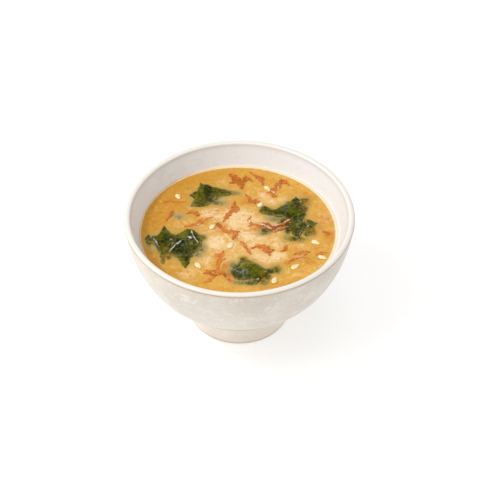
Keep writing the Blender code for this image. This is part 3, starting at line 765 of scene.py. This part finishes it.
# the flakes: each arm's course as x, y and width in millimetres, and its height over the soup
flakes = {
    "thickness": 0.14,
    "reddish": (
        (19, 3, 8, 5, 1), (-33, 21, 6, 3, 0.5), (-5.6, -31.5, 2.4, 3.6, 1), (31, -17, 4, 3, 0.3),
    ),
    "browned": (
        (-2.6, 20.6, 2, 2, 1), (-10.5, 4, 2, 2.4, 0.8), (-15.5, -30, 3, 2, 0.9), (-23, 12, 4, 4, 0.7),
        (-3, 14, 4, 6, 0.4), (0, 38, 8, 7, 1), (22, 33, 6, 8, 0.7), (10, 40, 4, 5, 0.5), (7, 22, 5, 4, 0.6),
        (-34, 11, 4, 5, 0.8), (44, -3, 5, 5, 0.8), (23, -14, 3, 3, 0.6),
    ),
    "fibre": 0.34,  # from one fibre to the next
    "step": 0.36,  # from one point to the next along a fibre
    "wave": 0.28,  # up and down over the soup
    "waveSize": 2.4,
    "ridge": 0.1,  # of a fibre over its neighbours
    "ridgeLength": 3,
    "ridgeShift": 1.7,  # between the noise of neighbouring fibres
    "shades": (0.5, 0.8, 0.3),  # of the colour: its middle, and how much ridge and wave change it
    "courseSteps": 10,
    "torn": 0.9,  # how unequally the fibres end
    "ends": (-0.3, 1),  # shortest and longest of them
    "fray": 1.6,  # steps from the end within which they part
    "ragged": 0.5,  # share by which the width jumps
    "notch": 0.95,  # length of one jump
    "arms": (
        (((-4.7, 43, 1.2), (-3.4, 41, 3.2), (-1.4, 38.2, 4), (0.4, 36, 3.6), (1.3, 32, 0.8)), 0.15),
        (((-4.9, 36.2, 0.8), (-2.6, 36.6, 1.8), (0, 37, 2.2)), 0.14),
        (((1, 35.6, 2.6), (2.7, 37.4, 2.8), (3.3, 39.6, 2), (3.5, 41.6, 0.8)), 0.2),
        (((3.2, 41.2, 0.9), (4.5, 39.4, 1.9), (6.5, 37.6, 0.5)), 0.17),
        (((5.7, 44.4, 0.6), (7.5, 42.6, 1.5), (9.6, 40.9, 2.4), (11.4, 38.8, 2.7), (12.3, 35.2, 0.9)),
          0.15),
        (((25.5, 34.3, 1), (24, 36.4, 2.5), (21.8, 36.6, 3), (20.1, 34.2, 2.6)), 0.17),
        (((20.4, 34.6, 2.4), (18.8, 31.8, 3.8), (17.5, 29.6, 3.4), (17.2, 28.4, 1.4)), 0.15),
        (((14.9, 28.6, 1.2), (16.6, 27.2, 2.5), (18.2, 25.8, 2.1), (19.5, 25.8, 0.7)), 0.14),
        (((3.3, 27, 0.9), (4.6, 24.8, 1.7), (5.5, 22.6, 1.9), (6.2, 21.4, 1.6)), 0.1),
        (((4.9, 20.8, 0.9), (6.8, 21.2, 2.6), (8.4, 21.8, 3), (10, 21.5, 0.9)), 0.15),
        (((-2.3, 21.6, 0.5), (-2.6, 18.8, 2.3), (-2.7, 16.4, 3.8), (-3.9, 14, 3.3), (-5.3, 11.9, 2.2),
          (-6.6, 9.8, 2.2), (-7.9, 6.9, 0.8)), 0.19),
        (((-2.8, 17.4, 2), (-1.5, 15.6, 2.5), (-1.8, 13.4, 0.9)), 0.21),
        (((-26.2, 12.8, 0.7), (-24.6, 14.1, 1.8), (-23, 13, 2.9), (-21.6, 11.8, 2.5), (-20.7, 10.7, 0.9)),
          0.15),
        (((-33.7, 15, 0.7), (-34.1, 12.8, 2.3), (-35, 11, 2.5), (-36.2, 9.2, 1.4), (-37.1, 6.9, 0.5)),
          0.11),
        (((-39.4, 20.4, 0.9), (-36.2, 21.9, 2.4), (-33, 21.6, 2.6), (-30, 20.8, 2.3), (-27.2, 21.2, 0.9)),
          0),
        (((-27, 3.3, 0.8), (-24, 3.9, 1.7), (-22, 4.7, 2.5), (-20, 6.2, 2.5), (-18, 7.6, 2.1),
          (-16, 8.7, 1.3), (-13.4, 9.9, 0.4)), 0.09),
        (((-11.2, 5, 1), (-10, 3, 2.7), (-8.6, 1.2, 3.1), (-6.8, -0.4, 3.3), (-4.8, -1.2, 3.5),
          (-2.8, -1.5, 3.2), (-0.4, -0.8, 0.8)), 0.21),
        (((-2.8, -1.4, 3.2), (-2.3, -3.4, 3), (-2.9, -5.1, 1.6), (-3.1, -6.5, 0.5)), 0.17),
        (((5.6, 9.7, 0.8), (4.5, 7.8, 1.2), (5.6, 5.4, 1.3), (7.6, 4.4, 1.1)), 0.09),
        (((4.7, 3.3, 0.7), (7, 4.2, 1.6), (9.2, 3.6, 2.4), (11.2, 2.8, 2.3), (12.8, 2.7, 1)), 0.12),
        (((5.5, 1.4, 0.6), (8, 1.2, 1.2), (10.6, 1.9, 1.1)), -0.05),
        (((10.4, 5.2, 0.9), (12.6, 4.6, 2), (14.6, 3.6, 2.8), (16.4, 2.1, 3), (18.2, 2.3, 2.5),
          (20.4, 3.7, 1.8), (22.6, 4.9, 1.6), (25.7, 8.1, 0.7)), 0.46),
        (((15.8, 1.4, 2.2), (17.4, -0.3, 1.7), (20, 0.2, 1.4), (22, 1.2, 1.1), (24.6, 2.8, 0.5)), 0.37),
        (((1.1, -8, 0.9), (2.2, -10.2, 1.7), (3.3, -12.4, 1.7), (4.4, -14.7, 1.8), (5.6, -17.2, 0.6)),
          0.15),
        (((6.3, -12.7, 0.7), (8.2, -12, 1.2), (10, -11.4, 2.7), (11.8, -12.4, 3.7), (13.5, -13.4, 3.9),
          (15, -14.3, 3), (16.8, -14.2, 0.9)), 0.19),
        (((12.8, -13.8, 2.7), (14.2, -15.8, 1.9), (15.1, -17.6, 0.6)), 0.15),
        (((20.9, -15.1, 0.7), (22.6, -14.4, 1.9), (23.4, -13, 1.8), (23.5, -11.6, 0.6)), 0.14),
        (((27.6, -16.9, 0.9), (30, -16, 2), (32, -15.8, 2.6), (34.6, -15.8, 1.2)), 0.05),
        (((22.4, -23.8, 1), (25, -22.4, 1.8), (27.6, -20.6, 1.6), (30, -18.8, 1.4), (33.2, -17.4, 0.8)),
          0.07),
        (((42, -0.8, 1.2), (44.6, -1.8, 3.2), (47.6, -2.8, 1)), -0.02),
        (((44.8, -1.6, 2.4), (43.6, -4, 2), (43, -6.4, 0.8)), -0.12),
        (((38.6, -17.5, 0.8), (40.4, -16.7, 2), (42.6, -16, 0.9)), 0.02),
        (((-8, -15, 0.7), (-8.6, -17, 1.9), (-9.3, -19.2, 3.7), (-9.4, -21.6, 3.1), (-10, -24, 1.8),
          (-10.5, -26.8, 1.5), (-10.2, -29.4, 2.8)), 0.16),
        (((-11.3, -17.1, 0.7), (-10.3, -18.6, 2), (-9.6, -20.4, 2.2)), 0.15),
        (((-7.3, -20.5, 0.7), (-7.2, -24, 0.9), (-7.8, -28, 1.4)), -0.06),
        (((-16.9, -30.5, 0.8), (-15, -30.2, 1.7), (-13, -30.2, 2.7), (-11, -29.6, 3.7), (-9, -29.9, 3.2),
          (-7.2, -31, 1)), 0.19),
        (((-15.8, -28.6, 0.6), (-13.8, -29.4, 1.5), (-12.2, -30, 1.7)), 0.2),
        (((-11.2, -31, 2), (-13.2, -33.4, 1.7), (-15.2, -35.6, 1.6), (-17.2, -36.9, 0.8)), 0.07),
        (((-8.8, -28.4, 2.3), (-7.4, -31, 1.7), (-6.2, -33.2, 1.6), (-5, -35.2, 1.4), (-2.6, -36.8, 0.6)),
          0.09),
        (((-15.4, 13.4, 0.6), (-13.2, 15, 0.7), (-10.8, 14.7, 0.6), (-9.5, 13, 0.5)), 0.01),
    ),
    "tones": {
        "dark": (174, 84, 22), "pale": (236, 150, 74), "orange": (226, 126, 40), "fleck": (150, 70, 12),
        "paleFleck": (252, 196, 128), "rim": (150, 72, 12), "paleRim": (250, 206, 142),
        "reddish": (140, 76, 54), "browned": (160, 82, 16), "glint": (255, 240, 214),
    },
    # painted highlights on the wet edges, given like those of the leaves
    "paintedGlints": (
        (((16.6, 30, 0.2), (17.6, 29, 0.4), (18.6, 27.8, 0.2)), 1),
        (((20, 33.8, 0.2), (20.3, 31.6, 0.4)), 0.7), (((-7.9, 12.8, 0.5), (-6.2, 13.2, 0.4)), 0.8),
        (((-4.6, 17, 0.3), (-5, 15.2, 0.2)), 0.8),
        (((-11.2, 2.2, 0.2), (-9.4, -0.6, 0.4), (-7.6, -3, 0.2)), 0.9), (((5.2, 7.4, 0.5), (5, 6, 0.3)), 1),
        (((10.2, 4.8, 0.3), (12.4, 3.8, 0.3), (14.4, 2.4, 0.3), (15.8, 0.8, 0.2)), 0.9),
        (((16.8, 3.3, 0.2), (18.4, 3.4, 0.3), (20.6, 4.6, 0.3), (22.6, 5.8, 0.3), (25.3, 8.2, 0.3)), 1),
        (((17.2, -1.2, 0.3), (18.6, -0.8, 0.3)), 0.6),
        (((-23.6, 2.8, 0.2), (-21.4, 3.6, 0.3), (-19.4, 4.8, 0.2)), 0.6),
        (((-18.4, 8.6, 0.3), (-18, 8.4, 0.3)), 0.9), (((2.2, -12.2, 0.2), (3.6, -15.2, 0.2)), 0.5),
        (((-13, -30, 0.3), (-12.8, -30.2, 0.3)), 0.9), (((28, -19.4, 0.2), (31.4, -18.2, 0.3)), 0.7),
        (((-5.4, -36, 0.3), (-2.8, -37.2, 0.2)), 0.6), (((-15, 13.6, 0.4), (-12.8, 14.2, 0.5)), 0.9),
        (((-3.6, -3.6, 0.3), (-3.6, -3.8, 0.3)), 0.8),
    ),
}


# values at whole numbers joined by straight lines, which gives angular edges
def zigzag(along, rng):
    knots = np.array([rng.uniform(-1, 1) for _ in range(int(along.max()) + 3)])
    return np.interp(along, np.arange(len(knots)), knots)


# each arm is a thin sheet of fibres, with angular edges, torn so that the fibres end at unequal lengths
def flakeSheet(course, lift, seed):
    rng = random.Random(seed)
    table = np.array(smoothCurve(course, flakes["courseSteps"]))
    marks = np.concatenate([[0], np.cumsum(np.hypot(*np.diff(table[:, :2], axis=0).T))])
    rows = max(6, round(marks[-1] / flakes["step"]))
    columns = max(4, round(table[:, 2].max() / flakes["fibre"]))
    spots = np.linspace(0, marks[-1], rows + 1)
    along = np.array([np.interp(spots, marks, table[:, k]) for k in (0, 1, 2)]).T
    ahead = np.gradient(along[:, :2], axis=0)
    ahead /= np.linalg.norm(ahead, axis=1, keepdims=True)
    aside = np.stack([-ahead[:, 1], ahead[:, 0]], 1)
    halves = [along[:, 2] / 2 * (1 + flakes["ragged"] * zigzag(spots / flakes["notch"], rng)) for _ in (0, 1)]
    across = np.linspace(-1, 1, columns + 1)
    ends = [np.array([rng.uniform(*flakes["ends"]) for _ in across]) for _ in (0, 1)]
    middle, ridgeShare, waveShare = flakes["shades"]
    points, shades = [], []
    for row in range(rows + 1):
        fromStart, fromEnd = math.exp(-row / flakes["fray"]), math.exp(-(rows - row) / flakes["fray"])
        for column, share in enumerate(across):
            half = halves[0][row] if share < 0 else halves[1][row]
            tear = (ends[1][column] * fromEnd - ends[0][column] * fromStart) * flakes["torn"]
            x, y = along[row, :2] + aside[row] * share * half + ahead[row] * tear
            fibre = Vector((spots[row] / flakes["ridgeLength"], column * flakes["ridgeShift"], seed))
            ridge = noise.noise(fibre)
            wave = noise.noise(Vector((x / flakes["waveSize"], y / flakes["waveSize"], seed)))
            z = bowl["level"] + lift + flakes["wave"] * wave + flakes["ridge"] * ridge
            points.append((x * mm, y * mm, z * mm))
            shades.append(middle + ridgeShare * ridge + waveShare * wave)
    rims = np.tile(np.abs(across) ** 3, rows + 1)
    return points, gridFaces(rows, columns), shades, rims.tolist()


def flakePaint():
    paint = Paint("flake")
    tones = tonesOf(flakes)
    broad = paint.speckle(2.2, detail=4, rough=0.65, warp=0.6)
    fine = paint.speckle(0.8, detail=3, rough=0.7, seed=0.5)
    rim = paint.attribute("rim")
    base = paint.mix(tones["dark"], tones["pale"], paint.attribute("shade"))
    base = paint.mix(base, tones["orange"], broad.step(0.46, 0.56) * 0.5)
    base = paint.mix(base, tones["fleck"], (1 - fine.step(0.38, 0.47)) * 0.5)
    base = paint.mix(base, tones["paleFleck"], fine.step(0.55, 0.62) * 0.45)
    base = paint.mix(base, tones["rim"], rim * (1 - broad.step(0.40, 0.50)) * 0.7)
    base = paint.mix(base, tones["paleRim"], rim * broad.step(0.50, 0.60) * 0.6)
    base = paint.mix(base, tones["reddish"], paint.attribute("reddish") * (0.2 + fine))
    base = paint.mix(base, tones["browned"], paint.attribute("browned") * (1.1 - broad))
    # painted highlights on the wet edges of the flakes
    base = paint.mix(base, tones["glint"], paint.attribute("glint") * fine.step(0.36, 0.56) * 1.2)
    paint.relief(broad * 0.6 + fine * 0.5, 0.2, 0.6)
    return paint.finish(Base_Color=base, Roughness=0.5, IOR=1.33, Specular_IOR_Level=0.1)


def makeFlakes():
    points, faces, shades, rims = [], [], [], []
    for count, (course, lift) in enumerate(flakes["arms"]):
        sheet, cells, shade, rim = flakeSheet(course, lift, count)
        faces += [[len(points) + i for i in cell] for cell in cells]
        points += sheet
        shades += shade
        rims += rim
    piece = newPiece("flakes", points, faces)
    places = pointsOf(piece) / mm
    floatAttribute(piece, "shade", np.clip(shades, 0, 1))
    floatAttribute(piece, "rim", rims)
    for layer in ("reddish", "browned"):
        floatAttribute(piece, layer, blobs(places[:, 0], places[:, 1], flakes[layer]))
    # where highlights are painted on the flakes
    floatAttribute(piece, "glint", streaks(places, flakes["paintedGlints"]))
    bm = bmesh.new()
    bm.from_mesh(piece.data)
    bm.normal_update()
    bmesh.ops.reverse_faces(bm, faces=[face for face in bm.faces if face.normal.z < 0])
    bm.to_mesh(piece.data)
    bm.free()
    thick = piece.modifiers.new("thickness", "SOLIDIFY")
    thick.thickness = flakes["thickness"] * mm
    thick.offset = -1
    settle(piece, flakePaint(), "soup")
    return piece


# the sesame seeds: each place's x and y in millimetres and its turn in degrees
seeds = {
    "length": 4.3,
    "width": 2.55,
    "thickness": 1.4,
    "taper": 0.5,
    "tip": (0.2, 0.5),  # where along the seed its tip begins, and how much sharper it gets
    "flatness": 0.2,
    "rings": (24, 16),
    "rise": 0.28,  # of the middle over the soup's level
    "tilts": (0.15, 0.12),  # most, in radians
    "sizes": (0.94, 1.06),
    "draw": 3,
    "tones": {"cream": (255, 238, 196), "golden": (250, 214, 146)},
    "places": (
        (-31.4, 25.1, -62), (10.8, 19.2, 62), (14.6, 31.4, -48), (-13.5, 2.6, 58), (-4.4, -10.9, 60),
        (-20.2, -25.3, -58), (38.1, -9.0, -28), (40.9, -19.7, -22), (27.4, -26.1, 30), (17.1, -35.5, 72),
    ),
}


# a drop-shaped seed lying along X, at its size in metres
def seedShape():
    s = seeds
    bm = bmesh.new()
    bmesh.ops.create_uvsphere(bm, u_segments=s["rings"][0], v_segments=s["rings"][1], radius=0.5)
    tipFrom, tip = s["tip"]
    for vert in bm.verts:
        along, across, up = vert.co.z, vert.co.x, vert.co.y
        taper = 1 - s["taper"] * along - tip * max(0, along - tipFrom)
        thick = s["thickness"] * (0.5 + 0.5 * taper) * (1 - s["flatness"] * abs(across))
        vert.co = (along * s["length"], across * s["width"] * taper, up * thick)
        vert.co *= mm
    shape = newPiece("seed_shape", [], [])
    bm.to_mesh(shape.data)
    bm.free()
    shape.data.shade_smooth()
    return shape


# lays a shape on every point of a piece, turned and sized by the point's attributes
def scatterTree():
    tree = Tree("scatter", {"Shape": "Object", "Material": "Material"})
    given = tree.given
    shape = tree.add("GeometryNodeObjectInfo", {}, {"Object": given["Shape"]}, "Geometry")
    kind = "GeometryNodeInputNamedAttribute"
    turn = tree.add(kind, {"data_type": "FLOAT_VECTOR"}, {"Name": "turn"}, "Attribute")
    size = tree.add(kind, {"data_type": "FLOAT"}, {"Name": "size"}, "Attribute")
    facing = tree.add("FunctionNodeEulerToRotation", {}, {"Euler": turn})
    sockets = {"Points": given["Geometry"], "Instance": shape, "Rotation": facing, "Scale": size}
    return tree.close(tree.add("GeometryNodeInstanceOnPoints", {}, sockets))


def sesamePaint():
    paint = Paint("sesame")
    tones = tonesOf(seeds)
    base = paint.mix(tones["cream"], tones["golden"], paint.speckle(1.5).step(0.46, 0.62))
    paint.relief(paint.speckle(0.5), 0.05, 0.5)
    return paint.finish(Base_Color=base, Roughness=0.35, Coat_Weight=0.3, Coat_Roughness=0.15)


def makeSeeds():
    rng = random.Random(seeds["draw"])
    roll, pitch = seeds["tilts"]
    height = bowl["level"] + seeds["rise"]
    places, turns, sizes = [], [], []
    for x, y, turn in seeds["places"]:
        places.append((x * mm, y * mm, height * mm))
        turns.append((rng.uniform(-roll, roll), rng.uniform(-pitch, pitch), math.radians(turn)))
        sizes.append(rng.uniform(*seeds["sizes"]))
    piece = newPiece("sesame_seeds", places, [])
    layer = piece.data.attributes.new("turn", "FLOAT_VECTOR", "POINT")
    layer.data.foreach_set("vector", np.asarray(turns, np.float32).ravel())
    floatAttribute(piece, "size", sizes)
    shape, paint = seedShape(), sesamePaint()
    applyTree(piece, scatterTree(), Shape=shape, Material=paint)
    bpy.data.objects.remove(shape)
    settle(piece, paint, "soup")


# the soup's surface, reaching just into the wall
soup = {
    "reach": 0.8,  # into the wall
    "cells": 224,
    "climb": 0.25,  # up the wall
    "climbWidth": 0.7,
    "line": (0.45, 1.55),  # from the wall in to the painted highlight line on the meniscus, at the left and at the right
    "lineWidth": 0.3,
    "shoreWidth": 1.3,  # of the thin film outside that line
    "swell": 0.12,  # of the surface over a leaf
    "leafHalo": ((14, 1.15), (60, 0.85)),  # near and far round a leaf: rounds of blurring and strength
    "flakeHalo": (7, 0.6),
    # what rises to the right: its slope in x and y, and its offset; the soup's tone rises so as painted
    # light, darker at the left and lighter at the right
    "paintedLightSlope": (0.09, -0.03, 1.6),
    "filmSlope": (0.09, 0.05, 0.2),
    "tones": {
        "amber": (204, 146, 44), "gold": (227, 174, 76), "rust": (203, 138, 42), "swirl": (214, 170, 76),
        "deep": (204, 140, 44), "cloud": (239, 202, 142), "cream": (250, 220, 176), "grain": (200, 130, 52),
        "deepGrain": (186, 106, 34), "paleGrain": (250, 220, 168), "pale": (190, 160, 88),
        "paleBrown": (190, 146, 70), "paleGrey": (178, 160, 110), "mid": (148, 128, 54),
        "midBrown": (158, 118, 42), "midGrey": (136, 126, 80), "low": (96, 92, 26), "lowBrown": (122, 88, 20),
        "leaf": (52, 56, 12), "flake": (202, 114, 38), "film": (206, 164, 96), "paleFilm": (242, 222, 194),
        "shore": (248, 240, 230), "line": (255, 246, 216),
    },
    "clarity": 0.55,  # depth at which a sunk leaf is veiled by about two thirds
    # pale clouds in the soup: x, y, half width, half depth, strength
    "clouds": (
        (2, -2, 30, 25, 0.62), (-1, 9, 12, 9, 1), (6, -4, 9, 7, 0.9), (-12, -9, 9, 8, 1),
        (-13, 13, 9, 5, 0.85), (14, -19, 12, 5, 0.9), (-16, -22, 7, 6, 0.6), (13, 26, 11, 6, 0.55),
        (6, -15, 8, 5, 0.6), (-27, 5, 9, 5, 0.4), (38, -12, 6, 5, 0.35), (18, 4, 9, 6, 0.7),
        (-6, 36, 7, 4, 0.35), (-33, 12, 6, 4, 0.3), (-5, -22, 6, 5, 0.5), (-26, -30, 9, 6, 0.4),
        (28, -31, 8, 5, 0.4), (18, 22, 9, 5, 0.6), (44, 10, 5, 8, 0.4), (20, -8, 8, 5, 0.7),
    ),
    # deeper amber: x, y, half width, half depth, strength
    "deep": (
        (41, 7, 5, 7, 0.6), (33, -21, 6, 4, 0.9), (20, -39, 9, 3, 0.7), (0, -5.5, 3.4, 2.2, 1.3),
        (9, -3, 3, 2.5, 0.7), (36, 24.5, 3, 3, 1.3), (46, -5, 4, 6, 0.6), (-43, 8, 6, 14, 0.5),
        (-34, 30, 6, 6, 0.4), (28, 28, 4, 6, 0.5), (37, 24, 4, 6, 0.5), (-44, -18, 6, 6, 0.4),
        (-12, -17, 3, 5, 0.3), (10, 16, 3, 3, 0.3),
    ),
    # where a sunk leaf looks brown, and where it looks grey
    "brown": (
        (35, 21, 3, 5, 1), (37.5, -1, 3, 4, 1), (12.5, -36, 3.4, 3.4, 0.6), (14, -28.5, 3, 2, 0.15),
        (18, -27, 4, 4, 0.25), (-34.5, -18.5, 2.5, 2, 1), (-37.5, -22, 2, 3, 0.8), (29, -8, 6, 2, 0.5),
        (2, -19, 2, 1.5, 0.6), (-45, -5, 2, 2, 0.6),
    ),
    "grey": (
        (-31, 10.5, 6, 4, 1), (16.5, 8.5, 5, 3.5, 1), (-20, -15, 5, 7, 1), (-8, 22, 8, 4, 0.9),
        (3, -37, 7, 3, 0.7), (-3, -25, 4, 4, 0.7), (13, -1.5, 5, 3, 0.8), (-43, -13, 3, 4, 0.6),
        (24, 1, 3, 3, 0.25), (9, -24, 4, 2, 0.6),
    ),
    # flakes wholly under the surface: x, y, half width, half depth, strength
    "smears": (
        (-6.4, -26, 1.7, 4.5, 0.75), (-5.2, -32, 2.2, 3, 1), (28.5, -14, 2.4, 2, 0.5),
        (44.8, 9, 2, 2.6, 0.6), (33.8, 28, 1.8, 1.4, 0.6), (41, 2, 3, 2.4, 0.4), (38.5, -13, 2.6, 1.8, 0.4),
        (2.6, 21.5, 2.2, 3.4, 0.5), (8.6, 0.4, 3, 1.4, 0.45), (-33, 19, 5, 1.6, 0.4),
        (-12.6, 12.6, 3.4, 1.6, 0.35), (44.4, -3, 3, 3, 0.6),
    ),
    # leaves wholly under the surface: x, y, half width, half depth, strength
    "sunk": (
        (-31, 10.5, 4.2, 2.8, 0.55), (-30.4, 9, 1.5, 1.1, 0.72), (-11.5, 20.6, 6.5, 2.6, 0.78),
        (-4, 28, 5.5, 2.4, 0.86), (-19.5, 19.5, 4, 1.8, 0.5), (-25, 25, 1.8, 4, 0.4),
        (18.5, 8.5, 5.5, 3, 0.72), (22.8, 6, 3.4, 4, 1.35), (24.6, 2.5, 2.3, 5.5, 1.5),
        (22.5, -1, 1.5, 2, 0.5), (33.4, 4, 2.4, 5.5, 1), (33.4, 18.5, 2.4, 6, 0.8), (34, 12, 1.6, 3, 0.6),
        (36.8, -1.5, 3, 3.8, 0.75), (39.5, 3, 2, 2.5, 0.4), (35, 21, 2.2, 4.5, 0.75),
        (28, -6, 6.2, 2.6, 0.98), (30, -8, 4, 1.6, 0.55), (24, -5, 3.5, 3, 0.6), (22.5, -8, 2.5, 1.4, 0.42),
        (33.5, -6, 2.4, 2, 0.55), (13.6, 0.3, 4.2, 2.7, 1), (12.5, -2.2, 3.8, 1.8, 0.78),
        (-33, -5.5, 1.8, 4.5, 1), (-33, -17, 3, 3, 0.62), (-35, -19, 2.4, 2.6, 0.95),
        (-44.8, -8.6, 2.6, 4, 1), (-42, -14, 2.5, 3, 0.4), (-19, -12.5, 3.4, 5.5, 0.75),
        (-21, -17.5, 3.6, 2.8, 0.72), (-18.2, -5.5, 2.6, 2.8, 0.8), (-23, -19.5, 2.5, 2, 0.4),
        (-37.8, -22, 1.6, 2.6, 0.8), (-38.2, -18.6, 1.5, 2.6, 1), (-3, -25, 2.8, 3.6, 0.8),
        (-4.6, -30, 1.8, 4, 0.75), (1, -36.5, 5, 2.4, 0.8), (6, -37, 5, 2.2, 0.95),
        (12, -36.3, 2.8, 3, 0.95), (13.6, -33, 2.6, 3.2, 1.15), (15.2, -29.2, 3, 2.6, 1.25),
        (18.2, -27.8, 3.4, 3.8, 0.85), (9, -26, 3.4, 1.2, 0.5), (6.5, -21.5, 2.4, 1.6, 0.45),
        (2, -20.5, 2.6, 2, 1.1),
    ),
}


def blurred(field, rounds):
    for _ in range(2 * rounds):  # along one side, then along the other
        padded = np.pad(field, ((1, 1), (0, 0)), mode="edge")
        field = ((padded[:-2] + 2 * padded[1:-1] + padded[2:]) / 4).T
    return field


# from 0 to 1, by a slope in x and y and an offset
def rising(x, y, slope):
    return 1 / (1 + np.exp(-(x * slope[0] + y * slope[1] + slope[2])))


# how much each point of the surface shows of what lies under it, from 0 to 1
def showThrough(points, pieces):
    corners, faces = [], []
    for piece in pieces:
        first = len(corners)
        corners += [v.co.copy() for v in piece.data.vertices]
        faces += [[first + i for i in p.vertices] for p in piece.data.polygons]
    tree = BVHTree.FromPolygons(corners, faces)
    down = Vector((0, 0, -1))
    shown = np.zeros(len(points))
    for i, (x, y, z) in enumerate(points):
        hit = tree.ray_cast(Vector((x, y, 0.2)), down)[0]
        if hit is not None:
            depth = max(0.0, (z - hit.z) / mm)
            shown[i] = math.exp(-depth / soup["clarity"])
    return shown


def soupPaint():
    paint = Paint("miso_soup")
    tones = tonesOf(soup)
    broad = paint.speckle(10, detail=5, rough=0.62, warp=1.2)
    swirl = paint.speckle(4.6, detail=6, rough=0.7, warp=1.8, seed=0.2)
    grain = paint.speckle(1.9, detail=5, rough=0.76, warp=0.9, seed=0.6)
    tone, cloud, deep = (paint.attribute(name) for name in ("tone", "cloud", "deep"))
    # amber at the left to gold at the right: painted shade and light across the soup
    amber = paint.mix(tones["amber"], tones["gold"], tone)
    amber = paint.mix(amber, tones["rust"], (1 - broad.step(0.38, 0.54)) * 0.4)
    amber = paint.mix(amber, tones["swirl"], swirl.step(0.50, 0.60) * 0.4)
    amber = paint.mix(amber, tones["deep"], deep * (0.3 + broad))
    mask = (cloud * 1.2 + (swirl - 0.5) * 2.2 + (broad - 0.5) * 1.4 - 0.12).step(0.02, 0.98)
    base = paint.mix(amber, tones["cloud"], mask)
    base = paint.mix(base, tones["cream"], (cloud * swirl.step(0.38, 0.6)).step(0.3, 0.9) * 0.75)
    base = paint.mix(base, tones["grain"], (1 - grain.step(0.36, 0.48)) * 0.5)
    base = paint.mix(base, tones["deepGrain"], deep * (1 - grain.step(0.38, 0.50)) * 0.6)
    base = paint.mix(base, tones["paleGrain"], grain.step(0.54, 0.66) * (0.14 + tone * 0.14 + cloud * 0.25))
    # what lies under the surface shows through the cloudy soup
    leaf = paint.attribute("leafShow") * (0.84 + (swirl - 0.5) * 1.2 + (grain - 0.5) * 2.0)
    brown, grey = paint.attribute("brown"), paint.attribute("grey")
    pale = paint.mix(paint.mix(tones["pale"], tones["paleBrown"], brown), tones["paleGrey"], grey)
    middle = paint.mix(paint.mix(tones["mid"], tones["midBrown"], brown), tones["midGrey"], grey)
    low = paint.mix(tones["low"], tones["lowBrown"], brown)
    base = paint.mix(base, pale, leaf.step(0.02, 0.34) * 0.85)
    base = paint.mix(base, middle, leaf.step(0.28, 0.56) * 0.9)
    base = paint.mix(base, low, leaf.step(0.52, 0.80) * 0.95)
    base = paint.mix(base, tones["leaf"], leaf.step(0.74, 0.98) * (1 - brown))
    flake = paint.attribute("flakeShow") * (0.75 + (swirl - 0.5) * 1.6 + (grain - 0.5) * 1.6)
    base = paint.mix(base, tones["flake"], flake)
    # the edge: a painted highlight line on the meniscus, and a thin film of soup between it and the wall
    film = paint.mix(tones["film"], tones["paleFilm"], paint.attribute("film"))
    base = paint.mix(base, film, paint.attribute("edge") * (0.5 + broad * 0.8))
    base = paint.mix(base, tones["shore"], paint.attribute("shore"))
    # the painted highlight, stronger to the right where the soup is painted lighter
    line = paint.attribute("waterline") * (0.5 + tone * 0.5 + (broad - 0.4) * 1.2)
    base = paint.mix(base, tones["line"], line)
    paint.relief(swirl * 0.5 + grain * 0.3, 0.06, 0.5)
    wet = {"Roughness": 0.26 + grain * 0.12, "IOR": 1.33, "Specular_IOR_Level": 0.28}
    return paint.finish(Base_Color=base, **wet)


def makeSoup(leaves, flakePiece):
    cells = soup["cells"]
    side = np.linspace(-1, 1, cells + 1)
    u, v = np.meshgrid(side, side)
    outer = bowl["soupRadius"] + soup["reach"]
    x = u * np.sqrt(1 - v * v / 2) * outer  # a square of cells, rounded to a disc
    y = v * np.sqrt(1 - u * u / 2) * outer
    radius = np.hypot(x, y)
    inwards = np.maximum(0, bowl["soupRadius"] + 0.3 - radius)
    z = bowl["level"] + soup["climb"] * np.exp(-inwards / soup["climbWidth"])
    flat = np.stack([x, y, z], -1).reshape(-1, 3) * mm
    leafShow = showThrough(flat, leaves).reshape(x.shape)
    flakeShow = showThrough(flat, [flakePiece]).reshape(x.shape)
    z += soup["swell"] * blurred(leafShow, 4)
    (nearRounds, nearShare), (farRounds, farShare) = soup["leafHalo"]
    near = blurred(leafShow, nearRounds)
    far = blurred(near, farRounds)
    halo = np.maximum(np.minimum(1, near * nearShare), far * farShare)
    leafShow = np.maximum(np.maximum(blurred(leafShow, 1) * 0.95, halo), blobs(x, y, soup["sunk"]))
    rounds, share = soup["flakeHalo"]
    flakeShow = np.maximum(blurred(flakeShow, 1) * 0.85, blurred(flakeShow, rounds) * share)
    flakeShow = np.maximum(flakeShow, blobs(x, y, soup["smears"]))
    points = np.stack([x, y, z], -1).reshape(-1, 3) * mm
    piece = newPiece("soup_surface", points.tolist(), gridFaces(cells, cells))
    film = rising(x, y, soup["filmSlope"])
    left, right = soup["line"]
    beyond = radius - bowl["soupRadius"] + left + (right - left) * film
    width = soup["lineWidth"]
    layers = {
        "leafShow": leafShow, "flakeShow": flakeShow, "film": film, "tone": rising(x, y, soup["paintedLightSlope"]),
        "waterline": np.exp(-((beyond / width) ** 2)), "edge": 1 / (1 + np.exp(-beyond / width)),
        "shore": np.clip((beyond - width) / soup["shoreWidth"], 0, 1) * film,
        "cloud": blobs(x, y, soup["clouds"]),
    }
    for layer in ("deep", "brown", "grey"):
        layers[layer] = blobs(x, y, soup[layer])
    for layer, values in layers.items():
        floatAttribute(piece, layer, values)
    settle(piece, soupPaint(), "soup")


placeCamera()
placeLights()
makeFloor()
print("camera, lights and floor placed")
makeBowl()
print("bowl made")
leafPieces = makeLeaves()
print("leaves made:", len(leafPieces))
flakePiece = makeFlakes()
print("flakes made:", len(flakePiece.data.polygons), "faces")
makeSeeds()
print("seeds made")
makeSoup(leafPieces, flakePiece)
print("soup made")
